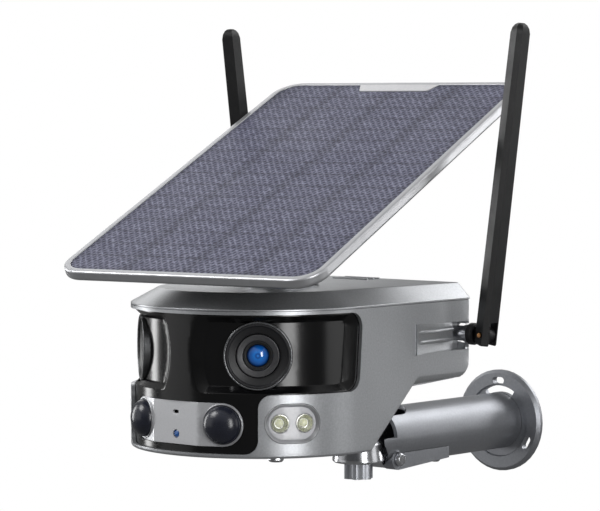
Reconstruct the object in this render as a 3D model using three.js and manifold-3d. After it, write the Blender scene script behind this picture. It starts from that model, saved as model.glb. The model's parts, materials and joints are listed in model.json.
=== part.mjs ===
// Solar-powered security camera on a wall arm: two lenses behind a curved black visor,
// a solar panel on a swivel post, two folding antennas and a tilting wall bracket.
//
// Millimetres, +Z up. The origin is the centre of the wall flange's back face. The wall is at
// +Y of the part and the camera looks along -Y.

import * as THREE from 'three';
import { mergeVertices } from 'three/addons/utils/BufferGeometryUtils.js';
import Module from 'manifold-3d';

const wasm = await Module();
wasm.setup();

// ---------------------------------------------------------------- driving dimensions

const GAP = 0.3;                      // clearance between pieces that touch

const flangeRadius = 33.2;            // wall flange
const flangeThick = 5;
const screwCircleRadius = 26.2;
const tubeRadius = 18.2;              // arm tube, level, along Y
const tubeWall = 2.5;

const bodyRadius = 75.9;              // half-round front of the camera, and its half width
const bodyDepth = 107.6;              // from the half-round's centre to the rear wall
const seamHeight = 84.2;              // underside of the top cover
const plateHeight = 94;               // flat top of the top cover
const shellWall = 2.8;
const visorRadius = 73.4;
const visorWall = 6.4;
const bandLow = 36.4;                 // black band across the front
const bandHigh = 82;
const bandRearY = 5;
const centreAngle = 41;               // half angle of the visor's lower centre part

const lensAngle = 40.9;
const lensHeight = 58.3;
const bezelRadius = 19.75;
const bezelFace = 70.6;               // distance of the bezel's face from the body's axis

const sensorAngle = 24.65;
const sensorHeight = 19;
const windowAngle = 56.3;
const windowHeight = 20;

const footY = 93;                     // pan axis of the camera on the bracket
const pivotY = 113;                   // tilt axis of the bracket's elbow
const pivotZ = -18.6;
const lugHalf = 7.2;                  // half width of the elbow's lug

const cameraY = -241.8;               // the camera's own frame in the part's frame
const cameraZ = 5.6;                  // the arm tube's axis lies this far below that frame

const postY = 20;                     // pan axis of the solar panel
const hingeZ = 128;                   // tilt axis of the solar panel
const panelYaw = 7.57;
const panelTilt = 24.3;
const panelWidth = 180.2;
const panelLength = 269.5;
const panelThick = 6.6;
const panelCorner = 17;

const antennaX = 90.6;                // antenna knuckle pin
const antennaY = 103.4;
const antennaZ = 63.5;
const antennaLean = 7.7;
const whipLength = 194;
const whipTail = 6.3;                 // whip below its pin, clear of the collar as it folds

const RAD = Math.PI / 180;

// ---------------------------------------------------------------- finishes

const finish = {
  silver: { color: 0x8f9194, roughness: 0.42, metalness: 0.6 },
  bracket: { color: 0x7d7f84, roughness: 0.38, metalness: 0.8 },
  bright: { color: 0xc8c9cc, roughness: 0.22, metalness: 1 },
  glossBlack: { color: 0x0c0c0e, roughness: 0.08, metalness: 0 },
  matteBlack: { color: 0x2d2d2f, roughness: 0.55, metalness: 0 },
  lensGrey: { color: 0x4f4f50, roughness: 0.35, metalness: 0.3 },
  lensGlass: { color: 0x1560b0, roughness: 0.03, metalness: 0 },
  sensorDome: { color: 0x1a1c26, roughness: 0.15, metalness: 0 },
  frosted: { color: 0xcfcfd3, roughness: 0.3, metalness: 0 },
  emitter: { color: 0xdfe6a8, roughness: 0.35, metalness: 0 },
  cells: { color: 0x5c5c72, roughness: 0.4, metalness: 0 },
  aluminium: { color: 0xc9cacd, roughness: 0.3, metalness: 0.9 },
  board: { color: 0x1f5a38, roughness: 0.6, metalness: 0 },
  battery: { color: 0x2f6db4, roughness: 0.4, metalness: 0 },
  rubber: { color: 0x1c1c1d, roughness: 0.8, metalness: 0 },
  brass: { color: 0xb8865a, roughness: 0.3, metalness: 1 },
};

// ---------------------------------------------------------------- solids and their booleans

// Keeps the positions only, merges shared corners and turns the faces outwards.
function closed(geometry) {
  geometry.deleteAttribute('normal');
  geometry.deleteAttribute('uv');
  const merged = mergeVertices(geometry, 1e-4);
  const p = merged.attributes.position;
  const index = merged.index.array;
  const [a, b, c] = [new THREE.Vector3(), new THREE.Vector3(), new THREE.Vector3()];
  let volume = 0;
  for (let i = 0; i < index.length; i += 3) {
    a.fromBufferAttribute(p, index[i]);
    b.fromBufferAttribute(p, index[i + 1]);
    c.fromBufferAttribute(p, index[i + 2]);
    volume += a.dot(b.cross(c));
  }
  if (volume < 0) {
    for (let i = 0; i < index.length; i += 3) {
      [index[i], index[i + 1]] = [index[i + 1], index[i]];
    }
  }
  return merged;
}

function toSolid(geometry) {
  const g = closed(geometry.clone());
  return new wasm.Manifold(new wasm.Mesh({
    numProp: 3,
    vertProperties: new Float32Array(g.attributes.position.array),
    triVerts: new Uint32Array(g.index.array),
  }));
}

function fromSolid(solid) {
  const mesh = solid.getMesh();
  const g = new THREE.BufferGeometry();
  g.setAttribute('position', new THREE.BufferAttribute(new Float32Array(mesh.vertProperties), 3));
  g.setIndex(new THREE.BufferAttribute(new Uint32Array(mesh.triVerts), 1));
  return g;
}

const cut = (geometry, ...tools) => fromSolid(
  tools.reduce((solid, tool) => solid.subtract(toSolid(tool)), toSolid(geometry)),
);
const fuse = (geometry, ...others) => fromSolid(
  others.reduce((solid, other) => solid.add(toSolid(other)), toSolid(geometry)),
);
const common = (geometry, other) => fromSolid(toSolid(geometry).intersect(toSolid(other)));

// ---------------------------------------------------------------- shape helpers

// Box given by its lowest and highest corners.
function box(x0, y0, z0, x1, y1, z1) {
  return new THREE.BoxGeometry(x1 - x0, y1 - y0, z1 - z0)
    .translate((x0 + x1) / 2, (y0 + y1) / 2, (z0 + z1) / 2);
}

// Outline extruded upwards from z0 to z1.
function prism(shape, z0, z1, curveSegments = 12) {
  const options = { depth: z1 - z0, bevelEnabled: false, curveSegments };
  return new THREE.ExtrudeGeometry(shape, options).translate(0, 0, z0);
}

// Outline drawn as (y, z) points, extruded along X from x0 to x1.
function sidePrism(points, x0, x1) {
  const shape = new THREE.Shape(points.map(([y, z]) => new THREE.Vector2(y, z)));
  const g = new THREE.ExtrudeGeometry(shape, { depth: x1 - x0, bevelEnabled: false });
  return g.rotateX(Math.PI / 2).rotateZ(Math.PI / 2).translate(x0, 0, 0);
}

// Turned piece about +Z from [radius, z] points that start and end on the axis.
function turned(points, segments = 24) {
  const profile = points.map(([r, z]) => new THREE.Vector2(r, z));
  return new THREE.LatheGeometry(profile, segments).rotateX(Math.PI / 2);
}

const rod = (radius, z0, z1, segments = 24) => turned(
  [[0, z0], [radius, z0], [radius, z1], [0, z1]],
  segments,
);

// Turns a piece that stands along +Z so that +Z points along +X, -Y or +Y.
const alongX = (geometry) => geometry.rotateY(Math.PI / 2);
const alongFront = (geometry) => geometry.rotateX(Math.PI / 2);
const alongBack = (geometry) => geometry.rotateX(-Math.PI / 2);

// Half-round front and straight sides, as the camera has in plan.
function bodyOutline(radius, rearY, halfWidth = radius) {
  const shape = new THREE.Shape();
  shape.moveTo(-halfWidth, rearY);
  shape.lineTo(-radius, 0);
  shape.absarc(0, 0, radius, Math.PI, 2 * Math.PI, false);
  shape.lineTo(halfWidth, rearY);
  shape.closePath();
  return shape;
}

// Slot with round ends, lying along the first axis.
function stadium(length, width) {
  const r = width / 2;
  const shape = new THREE.Shape();
  shape.absarc(length / 2 - r, 0, r, -Math.PI / 2, Math.PI / 2, false);
  shape.absarc(r - length / 2, 0, r, Math.PI / 2, 1.5 * Math.PI, false);
  shape.closePath();
  return shape;
}

function roundedRectangle(width, length, r) {
  const [x, y] = [width / 2, length / 2];
  const shape = new THREE.Shape();
  shape.absarc(x - r, y - r, r, 0, Math.PI / 2, false);
  shape.absarc(r - x, y - r, r, Math.PI / 2, Math.PI, false);
  shape.absarc(r - x, r - y, r, Math.PI, 1.5 * Math.PI, false);
  shape.absarc(x - r, r - y, r, 1.5 * Math.PI, 2 * Math.PI, false);
  shape.closePath();
  return shape;
}

// Wedge of a circle seen from above, centred on a direction measured from -Y towards +X.
function sector(radius, angle, halfAngle, z0, z1) {
  const from = (angle - halfAngle - 90) * RAD;
  const to = (angle + halfAngle - 90) * RAD;
  const shape = new THREE.Shape();
  shape.moveTo(0, 0);
  shape.lineTo(radius * Math.cos(from), radius * Math.sin(from));
  shape.absarc(0, 0, radius, from, to, false);
  shape.closePath();
  return prism(shape, z0, z1, 12);
}

// Solid between stacked outlines with the same number of corners: [outline, z] pairs.
function loft(layers, divisions = 14) {
  const rings = layers.map(([shape, z]) => shape.getPoints(divisions)
    .slice(0, -1).map((p) => new THREE.Vector3(p.x, p.y, z)));
  const count = rings[0].length;
  const positions = rings.flat().flatMap((p) => [p.x, p.y, p.z]);
  const faces = [];
  for (let level = 0; level < rings.length - 1; level += 1) {
    for (let i = 0; i < count; i += 1) {
      const j = (i + 1) % count;
      const [a, b] = [level * count + i, level * count + j];
      faces.push(a, b, b + count, a, b + count, a + count);
    }
  }
  const last = (rings.length - 1) * count;
  const caps = THREE.ShapeUtils.triangulateShape(rings[0].map((p) => new THREE.Vector2(p.x, p.y)), []);
  for (const [a, b, c] of caps) {
    faces.push(a, c, b, a + last, b + last, c + last);
  }
  const g = new THREE.BufferGeometry();
  g.setAttribute('position', new THREE.Float32BufferAttribute(positions, 3));
  g.setIndex(faces);
  return g;
}

// Puts a piece that faces -Y at the origin out to a direction and radius round the body's axis.
function facing(geometry, angle, radius, z) {
  return geometry.translate(0, -radius, z).rotateZ(angle * RAD);
}

// ---------------------------------------------------------------- scene graph

function node(parent, name, geometry, look) {
  const mesh = new THREE.Mesh(closed(geometry), new THREE.MeshStandardMaterial(finish[look]));
  mesh.name = name;
  parent.add(mesh);
  return mesh;
}

function group(parent, x, y, z) {
  const g = new THREE.Group();
  g.position.set(x, y, z);
  parent.add(g);
  return g;
}

const assembly = new THREE.Group();
const camera = group(assembly, 0, cameraY, cameraZ);
const SIDES = [['right', 1], ['left', -1]];

// ---------------------------------------------------------------- wall bracket

// Disc with a bevelled rim, three screw slots and a cable opening above the tube's seat.
const dishDepth = 3.6;

function wallFlange() {
  const disc = turned([
    [0, 0], [flangeRadius - 0.8, 0], [flangeRadius, 0.8], [flangeRadius, 3],
    [flangeRadius - 2, flangeThick], [23.8, flangeThick], [23.2, dishDepth], [0, dishDepth],
  ], 40);
  const screwSlots = [90, 210, 330].map((angle) => prism(stadium(9.5, 4.6), -1, 8, 4)
    .rotateZ(Math.PI / 2).translate(screwCircleRadius, 0, 0).rotateZ(angle * RAD));
  const cableShape = new THREE.Shape();
  cableShape.absarc(0, 0, 22.9, 58 * RAD, 122 * RAD, false);
  cableShape.absarc(0, 0, 18.6, 122 * RAD, 58 * RAD, true);
  cableShape.closePath();
  return alongFront(cut(disc, ...screwSlots, prism(cableShape, -1, 8, 5)));
}

node(assembly, 'wall_flange', wallFlange(), 'bracket');

// Hollow arm: its front end is hollowed round the elbow's foot, set back above its axis, notched
// on top for the neck and slotted underneath for the lug.
function armTube() {
  const wallEnd = -cameraY - dishDepth - GAP;
  const outside = alongBack(rod(tubeRadius, 96, wallEnd, 40)).translate(0, 0, -cameraZ);
  const inside = alongBack(rod(tubeRadius - tubeWall, 90, wallEnd + 1, 40))
    .translate(0, 0, -cameraZ);
  const footRoom = rod(18.4, -40, 20, 36).translate(0, footY, 0);
  const setBack = box(-30, 90, 1 - cameraZ, 30, 109, 30);
  const notch = fuse(box(-11.5, 90, -7, 11.5, 122, 30), rod(11.5, -7, 30).translate(0, 122, 0));
  const lugSlot = box(-lugHalf - 0.4, 90, -40, lugHalf + 0.4, 121, -10);
  const boltHole = alongX(rod(2.7, -30, 30, 16)).translate(0, pivotY, pivotZ);
  return cut(outside, inside, footRoom, setBack, notch, lugSlot, boltHole);
}

node(camera, 'arm_tube', armTube(), 'bracket');

const noseRadius = 6.6;

// Flat-sided cheek under each flank of the tube, rounded about the elbow's bolt.
function hingeCheek(side) {
  const slab = sidePrism(
    [[pivotY, -25.2], [164, -22], [164, -11], [pivotY, -11]],
    lugHalf + 0.4,
    16,
  );
  const nose = alongX(rod(noseRadius, lugHalf + 0.4, 16)).translate(0, pivotY, pivotZ);
  const tubeRoom = alongBack(rod(tubeRadius + GAP, 90, 180, 40)).translate(0, 0, -cameraZ);
  const boltHole = alongX(rod(2.7, 0, 30, 16)).translate(0, pivotY, pivotZ);
  const cheek = cut(fuse(slab, nose), tubeRoom, boltHole);
  return cheek.scale(side, 1, 1);
}

for (const [sideName, side] of SIDES) {
  node(camera, `hinge_cheek_${sideName}`, hingeCheek(side), 'bracket');
}

const hingeBolt = group(camera, 0, pivotY, pivotZ);
node(hingeBolt, 'hinge_bolt', fuse(
  alongX(rod(2.4, -18.5, 17, 16)),
  alongX(turned([[0, 16.3], [4.3, 16.3], [4.3, 17.6], [3.2, 19], [0, 19]], 20)),
), 'bright');
node(hingeBolt, 'hinge_nut', cut(
  alongX(rod(4.6, -19.4, -16.3, 6)),
  alongX(rod(2.7, -30, 0, 16)),
), 'bright');

const setScrew = turned([[0, 0], [3.4, 0], [3.4, -1.2], [2.2, -2.4], [0, -2.4]], 16);
node(camera, 'arm_set_screw', setScrew.translate(0, 170, -cameraZ - tubeRadius - GAP), 'bright');

// ---------------------------------------------------------------- elbow and clamp knob

const footBottom = -19.5;
const neckTop = -2.5;
const studHole = 3.5;

// Round foot that carries the camera, with a lug behind it that swings on the hinge bolt.
function elbowHead() {
  const foot = turned([
    [0, footBottom], [15, footBottom], [16.2, -18.4], [16.2, -16.8], [15.4, -13.5],
    [14.9, -8], [11.6, -5], [9, neckTop], [0, neckTop],
  ], 36).translate(0, footY, 0);
  const web = sidePrism(
    [[footY, -19.3], [footY + 12, -19.3], [pivotY, pivotZ - 6.2], [pivotY, -12.4], [footY, -8]],
    -lugHalf,
    lugHalf,
  );
  const eye = alongX(rod(6.2, -lugHalf, lugHalf)).translate(0, pivotY, pivotZ);
  const boltHole = alongX(rod(2.7, -20, 20, 16)).translate(0, pivotY, pivotZ);
  const stud = rod(studHole, -40, 20, 16).translate(0, footY, 0);
  const cheekRoom = box(-20, pivotY - noseRadius - 1, -30, 20, 120, 5);
  return cut(fuse(cut(foot, cheekRoom), web, eye), boltHole, stud);
}

node(camera, 'elbow_head', elbowHead(), 'bright');

// Six-lobed thumb knob and the stud that clamps the camera's pedestal to the foot.
function lobedKnob(radius, lobe, z0, z1, lobes = 6) {
  const shape = new THREE.Shape();
  const steps = lobes * 6;
  for (let i = 0; i < steps; i += 1) {
    const a = (i / steps) * 2 * Math.PI;
    const r = radius - lobe * (0.5 - 0.5 * Math.cos(lobes * a));
    if (i === 0) shape.moveTo(r, 0);
    else shape.lineTo(r * Math.cos(a), r * Math.sin(a));
  }
  shape.closePath();
  return prism(shape, z0, z1);
}

const clamp = group(camera, 0, footY, 0);
node(clamp, 'clamp_knob', cut(
  lobedKnob(9.4, 1.8, footBottom - 10.2, footBottom - GAP),
  rod(studHole, footBottom - 6, 0, 16),
), 'bracket');
node(clamp, 'clamp_stud', rod(3.15, footBottom - 5.7, 12, 16), 'bright');

// ---------------------------------------------------------------- camera casing

const kneeY = 50.5;
const bellyZ = 34.2;
const heelY = 97;                     // the belly turns up to the rear wall here
const heelTop = 46.5;

// Height of the casing's underside behind the knee.
function bellyHeight(y) {
  const heelZ = bellyZ + 2.4;
  if (y > heelY) return heelZ + (y - heelY) * (heelTop - heelZ) / (bodyDepth - heelY);
  return bellyZ + (y - kneeY) * (heelZ - bellyZ) / (heelY - kneeY);
}

// Side view of the casing, drawn with every wall moved in by an inset.
function casingProfile(inset, top) {
  const rear = bodyDepth - inset;
  return [
    [-90, inset], [13 - 0.42 * inset, inset], [kneeY - 0.42 * inset, bellyZ + inset],
    [heelY - 0.5 * inset, bellyHeight(heelY) + inset], [rear, heelTop + 0.5 * inset], [rear, top],
    [-90, top],
  ];
}

// Recess in each flank: a wedge that deepens rearwards to the antenna's seat.
const scoopLow = 53.2;
const scoopHigh = 72;
const seatX = 66.5;

function scoop(side, grow) {
  const shape = new THREE.Shape();
  shape.moveTo(bodyRadius + 2, 54 - 2 * grow);
  shape.lineTo(bodyRadius, 54 - 2 * grow);
  shape.lineTo(70 - grow, 95.5 - grow);
  shape.lineTo(seatX - grow, 96.2 - grow);
  shape.lineTo(seatX - grow, bodyDepth + 5);
  shape.lineTo(bodyRadius + 2, bodyDepth + 5);
  shape.closePath();
  return prism(shape, scoopLow - grow, scoopHigh + grow).scale(side, 1, 1);
}

function windowTool(side, grow) {
  const slot = alongFront(prism(stadium(33 + 2 * grow, 23 + 2 * grow), -20, 20, 10));
  return facing(slot, side * windowAngle, 70, windowHeight);
}

const caseScrews = [[50, -42], [-50, -42], [58, 4], [-58, 4]];
const button = { x: -24, z: 62, r: 5 };
const inlet = { x: 44, z: 62, r: 5.5 };

function housingShell() {
  const rim = seamHeight - GAP;
  const outside = common(
    prism(bodyOutline(bodyRadius, bodyDepth), -1, rim, 24),
    sidePrism(casingProfile(0, rim), -80, 80),
  );
  const hollowPlan = prism(bodyOutline(bodyRadius - shellWall, bodyDepth - shellWall), -1, 100, 24);
  const hollowSide = sidePrism(casingProfile(shellWall, 100), -80, 80);
  const hollow = cut(common(hollowPlan, hollowSide), scoop(1, shellWall), scoop(-1, shellWall));
  const bellyChamfers = [1, -1].map((side) => {
    const shape = new THREE.Shape();
    shape.moveTo(bodyRadius + 1, 30);
    shape.lineTo(bodyRadius + 1, 40.5);
    shape.lineTo(68, 30);
    shape.closePath();
    return prism(shape, -120, -kneeY + 2).rotateX(Math.PI / 2).scale(side, 1, 1);
  });
  const bandRoom = fuse(
    sector(90, 0, 90, bandLow, 100),
    box(-90, -0.5, bandLow, 90, bandRearY, 100),
  );
  const visorCore = rod(visorRadius - visorWall - 3, 0, 110, 48);
  const centreRoom = cut(sector(90, 0, centreAngle, 2.5, 60), visorCore);
  return cut(
    cut(outside, hollow),
    bandRoom,
    centreRoom,
    scoop(1, 0),
    scoop(-1, 0),
    ...bellyChamfers,
    windowTool(1, GAP),
    windowTool(-1, GAP),
    ...caseScrews.map(([x, y]) => rod(1.9, -5, 6, 12).translate(x, y, 0)),
    ...[button, inlet].map(({ x, z, r }) => alongBack(rod(r + GAP, 95, 115, 20)).translate(x, 0, z)),
  );
}

node(camera, 'housing_shell', housingShell(), 'silver');

// Shallow lid: a short upright lip, a chamfer all round and a flat plate with three low ribs.
function topCover() {
  const outside = loft([
    [bodyOutline(bodyRadius, bodyDepth), seamHeight],
    [bodyOutline(bodyRadius, bodyDepth), seamHeight + 0.9],
    [bodyOutline(59.5, bodyDepth - 1.6, 68), plateHeight],
  ], 24);
  const hollow = loft([
    [bodyOutline(bodyRadius - 3.2, bodyDepth - 3.2), seamHeight - 1],
    [bodyOutline(bodyRadius - 3.2, bodyDepth - 3.2), seamHeight + 0.4],
    [bodyOutline(57.8, bodyDepth - 4.6, 65.6), plateHeight - 2.4],
  ], 24);
  const ribs = [86, 92, 98].map((y) => box(-16, y, plateHeight - 1, 12, y + 1.8, plateHeight + 0.9));
  return fuse(cut(outside, hollow), ...ribs);
}

node(camera, 'top_cover', topCover(), 'silver');

for (const [i, [x, y]] of caseScrews.entries()) {
  const screw = turned([
    [0, -2.8], [3.6, -2.8], [4.6, -1.8], [4.6, -GAP], [1.6, -GAP], [1.6, 7], [0, 7],
  ], 10);
  node(camera, `case_screw_${i + 1}`, screw.translate(x, y, 0), 'bright');
}

// Tapered column between the casing's belly and the bracket's foot.
function pedestal() {
  const column = turned([
    [0, neckTop + GAP], [8.8, neckTop + GAP], [9.6, 6], [12, 16], [14, 26], [14, 45], [0, 45],
  ]).translate(0, footY, 0);
  const pad = box(-24, 66, 27, 24, 100, 45);
  const belly = sidePrism([
    [kneeY, bellyHeight(kneeY) - GAP], [heelY, bellyHeight(heelY) - GAP],
    [120, bellyHeight(120) - 1.5 * GAP], [120, 90], [kneeY, 90],
  ], -40, 40);
  const studRoom = rod(studHole, -20, 14, 16).translate(0, footY, 0);
  return cut(fuse(column, pad), belly, studRoom);
}

node(camera, 'pedestal', pedestal(), 'silver');

// ---------------------------------------------------------------- visor, lenses and sensors

const platePlane = 72.85;             // distance of the plate's slanted facets from the axis
const plateBendX = 17.3;
const plateThick = 1.4;

// Plan of the three-facet sensor plate between two depths behind its face.
function facets(front, back) {
  const [s, c] = [Math.sin(sensorAngle * RAD), Math.cos(sensorAngle * RAD)];
  const line = (depth) => {
    const bend = plateBendX - depth * Math.tan(sensorAngle * RAD / 2);
    const plane = platePlane - depth;
    const bendY = -(plane - bend * s) / c;
    const [endX, endY] = [plane * s + 15 * c, -plane * c + 15 * s];
    return [[-endX, endY], [-bend, bendY], [bend, bendY], [endX, endY]];
  };
  const points = [...line(front), ...line(back).reverse()];
  return new THREE.Shape(points.map(([x, y]) => new THREE.Vector2(x, y)));
}

// Long pill shape round both sensors, seen from the front.
function pillTool(grow) {
  const half = 12.5 + grow;
  const ends = [1, -1].map((side) => facing(
    alongFront(rod(half, -20, 20, 28)),
    side * sensorAngle,
    70,
    sensorHeight,
  ));
  const middleX = platePlane * Math.sin(sensorAngle * RAD) - 3;
  return fuse(
    box(-middleX, -95, sensorHeight - half, middleX, -50, sensorHeight + half),
    ...ends,
  );
}

const atSensor = (geometry, side, r) => facing(geometry, side * sensorAngle, r, sensorHeight);

function sensorPlate() {
  const sheet = common(prism(facets(0, plateThick), 0, 40), pillTool(0));
  const holes = [1, -1].map((side) => atSensor(alongFront(rod(11.6, -9, 9, 28)), side, platePlane));
  const micHole = box(-2.2, -90, 24.2, 2.2, -60, 26.2);
  const ledHole = alongFront(rod(2.5, 60, 90, 16)).translate(0, 0, 12.3);
  return cut(sheet, ...holes, micHole, ledHole);
}

const atLens = (geometry, side, r) => facing(geometry, side * lensAngle, r, lensHeight);

function visor() {
  const top = bandHigh - GAP;
  const low = bandLow + GAP;
  const wallIn = visorRadius - visorWall;
  const band = cut(
    prism(bodyOutline(visorRadius, bandRearY - GAP), low, top, 24),
    prism(bodyOutline(wallIn, bandRearY + 5), 0, 100, 24),
  );
  const centre = cut(
    sector(visorRadius, 0, centreAngle - GAP, 2.8, 50),
    rod(wallIn, -1, 90, 48),
  );
  const recesses = [1, -1].map((side) => cut(
    sector(90, side * 48, 36.5, 38.6, 79.6),
    rod(visorRadius - 4, -1, 110, 48),
  ));
  const lensHoles = [1, -1].map((side) => atLens(
    alongFront(rod(bezelRadius + GAP, -20, 20, 32)),
    side,
    bezelFace,
  ));
  const plateRoom = common(prism(facets(-8, plateThick + GAP), -5, 45), pillTool(GAP));
  const domeHoles = [1, -1].map((side) => atSensor(alongFront(rod(11.6, -9, 9, 28)), side, platePlane));
  const ledHole = alongFront(rod(2.5, 55, 90, 16)).translate(0, 0, 12.3);
  return cut(fuse(band, centre), ...recesses, ...lensHoles, plateRoom, ...domeHoles, ledHole);
}

node(camera, 'visor', visor(), 'glossBlack');
node(camera, 'sensor_plate', sensorPlate(), 'silver');

const lensRim = 17.6;
const barrelRadius = 12.25;

for (const [sideName, side] of SIDES) {
  const bezel = alongFront(turned([
    [barrelRadius + GAP, -9], [bezelRadius, -9], [bezelRadius, -0.6], [bezelRadius - 0.6, 0],
    [lensRim + 0.4, 0], [lensRim, -1.2], [barrelRadius + GAP, -2.6], [barrelRadius + GAP, -9],
  ], 36));
  node(camera, `lens_bezel_${sideName}`, atLens(bezel, side, bezelFace), 'matteBlack');
  const barrel = alongFront(turned([
    [0, -24], [9, -24], [9, -12], [barrelRadius, -12], [barrelRadius, -1.9], [8.75, -2.6],
    [6.7, -5], [0, -5],
  ], 28));
  node(camera, `lens_barrel_${sideName}`, atLens(barrel, side, bezelFace), 'lensGrey');
  const glass = alongFront(turned(
    [[0, -4.7], [6.35, -4.7], [6.35, -3.9], [4.6, -2.7], [2.4, -2], [0, -1.8]],
    24,
  ));
  node(camera, `lens_glass_${sideName}`, atLens(glass, side, bezelFace), 'lensGlass');

  const domeRadius = 11.2;
  const domeProfile = [0, 1, 2, 3, 4, 5].map((i) => {
    const a = (i / 5) * 86 * RAD;
    return [domeRadius * Math.cos(a), 8 * Math.sin(a)];
  });
  const dome = alongFront(turned([[0, -5], [domeRadius, -5], ...domeProfile, [0, 8]], 24));
  node(camera, `pir_dome_${sideName}`, atSensor(dome, side, platePlane), 'sensorDome');

  const wellSpacing = 7.5;
  const wells = [-1, 1].map((end) => facing(
    alongFront(rod(5.5, -20, 20, 20)).translate(end * wellSpacing, 0, 0),
    side * windowAngle,
    70,
    windowHeight,
  ));
  const windowBand = cut(
    sector(bodyRadius - 0.7, side * windowAngle, 16, 5, 35),
    rod(bodyRadius - 3.4, 0, 40, 60),
  );
  node(
    camera,
    `light_window_${sideName}`,
    cut(common(windowBand, windowTool(side, 0)), ...wells),
    'frosted',
  );
  for (const end of [-1, 1]) {
    const cup = alongFront(turned([
      [0, -9], [3.5, -9], [5.2, -2], [5.2, 0], [4.7, 0], [2.6, -5], [0, -5],
    ], 12)).translate(end * wellSpacing, 0, 0);
    const name = `led_emitter_${sideName}_${end < 0 ? 1 : 2}`;
    node(camera, name, facing(cup, side * windowAngle, bodyRadius - 2, windowHeight), 'emitter');
  }
}

node(camera, 'status_led', alongFront(rod(2.2, 64, 72.4, 16)).translate(0, 0, 12.3), 'lensGlass');

// ---------------------------------------------------------------- inside the casing

node(camera, 'main_board', box(-48, 8, 74, 48, 92, 75.6), 'board');
for (const [i, y] of [51, 71, 91].entries()) {
  const cell = alongX(rod(9.2, -32.5, 32.5, 20)).translate(0, y, 50.1);
  node(camera, `battery_cell_${i + 1}`, cell, 'battery');
}
node(camera, 'speaker', turned(
  [[0, 3.2], [14, 3.2], [14, 6], [9, 9.5], [0, 9.5]],
  20,
).translate(0, -18, 0), 'rubber');

// ---------------------------------------------------------------- rear wall fittings

node(camera, 'power_button', alongBack(turned(
  [[0, 101.5], [button.r, 101.5], [button.r, 108.4], [button.r - 0.6, 109], [0, 109]],
  20,
)).translate(button.x, 0, button.z), 'rubber');
node(camera, 'power_inlet', alongBack(turned(
  [[0, 98], [5.5, 98], [5.5, 107], [5.5, 108], [4.6, 108], [4.6, 114], [0, 114]],
  20,
)).translate(inlet.x, 0, inlet.z), 'matteBlack');

const flap = { x0: -4, x1: 24, z0: 54, z1: 70, y0: bodyDepth + GAP, y1: bodyDepth + 2 };
node(
  camera,
  'port_cover',
  box(flap.x0, flap.y0, flap.z0, flap.x1, flap.y1, flap.z1),
  'rubber',
);

// ---------------------------------------------------------------- antennas

const tongueHalf = 2.9;

// Rectangle with cut corners, for the antenna's cross section.
function cutCorner(width, depth, chamfer) {
  const [x, y] = [width / 2, depth / 2];
  return new THREE.Shape([
    [x - chamfer, -y], [x, chamfer - y], [x, y - chamfer], [x - chamfer, y],
    [chamfer - x, y], [-x, y - chamfer], [-x, chamfer - y], [chamfer - x, -y],
  ].map(([px, py]) => new THREE.Vector2(px, py)));
}

function whip() {
  const tip = whipLength - whipTail;
  const layers = [
    [cutCorner(9.2, 13.6, 2.6), -whipTail], [cutCorner(10, 14.4, 2.8), 1 - whipTail],
    [cutCorner(9, 12.6, 2.6), tip - 6], [cutCorner(8, 11.4, 2.6), tip - 3],
    [cutCorner(6, 8.6, 2.2), tip - 1], [cutCorner(3, 4.6, 1), tip],
  ];
  const tongueSlot = box(-20, -tongueHalf - 0.4, -20, 20, tongueHalf + 0.4, 8);
  const innerCorner = cut(box(-8, -10, -10, 0, 10, 0), alongBack(rod(whipTail, -20, 20, 28)));
  return cut(loft(layers, 1), tongueSlot, innerCorner, alongBack(rod(1.95, -20, 20, 12)));
}

for (const [sideName, side] of SIDES) {
  const socket = alongX(turned([
    [0, GAP], [4.6, GAP], [4.6, 9], [5.4, 9], [5.4, 12.4], [0, 12.4],
  ], 20)).translate(seatX, antennaY, antennaZ).scale(side, 1, 1);
  node(camera, `antenna_socket_${sideName}`, socket, 'bright');

  const knuckle = group(camera, side * antennaX, antennaY, antennaZ);
  const collar = alongX(turned([
    [0, -11.2], [6.7, -11.2], [6.7, -8.4], [6.1, -7.8], [6.1, -6.6], [0, -6.6],
  ], 24));
  const tongue = fuse(
    box(-7, -tongueHalf, -4.8, 0, tongueHalf, 4.8),
    alongBack(rod(4.8, -tongueHalf, tongueHalf, 20)),
  );
  const base = cut(fuse(collar, tongue), alongBack(rod(1.95, -20, 20, 12)));
  node(knuckle, `antenna_base_${sideName}`, base.scale(side, 1, 1), 'matteBlack');
  node(knuckle, `antenna_pin_${sideName}`, alongBack(rod(1.6, -7.6, 7.6, 12)), 'brass');
  const leaning = whip().rotateY(antennaLean * RAD).scale(side, 1, 1);
  node(knuckle, `antenna_whip_${sideName}`, leaning, 'matteBlack');
}

// ---------------------------------------------------------------- solar panel

const baseTop = plateHeight + 5.5;
const tongueWide = 5;

node(camera, 'swivel_base', cut(turned([
  [0, plateHeight + GAP], [22.4, plateHeight + GAP], [22.4, baseTop - 0.8], [21.6, baseTop],
  [0, baseTop],
], 36), rod(8, 90, 110, 20)).translate(0, postY, 0), 'silver');

const post = group(camera, 0, postY, 0);
post.rotation.z = panelYaw * RAD;

// Turning post: a spigot in the base, a collar, a column and the hinge tongue.
function swivelPost() {
  const column = turned([
    [0, plateHeight + 1], [7.6, plateHeight + 1], [7.6, baseTop + GAP], [21.6, baseTop + GAP],
    [21.6, baseTop + 3.4], [20, baseTop + 4.2], [11, baseTop + 5.4], [9.4, hingeZ - 10], [0, hingeZ - 10],
  ], 36);
  const tongue = fuse(
    box(-tongueWide, -8, hingeZ - 12, tongueWide, 8, hingeZ),
    alongX(rod(8, -tongueWide, tongueWide)).translate(0, 0, hingeZ),
  );
  return cut(fuse(column, tongue), alongX(rod(3.2, -20, 20, 16)).translate(0, 0, hingeZ));
}

node(post, 'swivel_post', swivelPost(), 'silver');

const hinge = group(post, 0, 0, hingeZ);
hinge.rotation.x = panelTilt * RAD;

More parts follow.
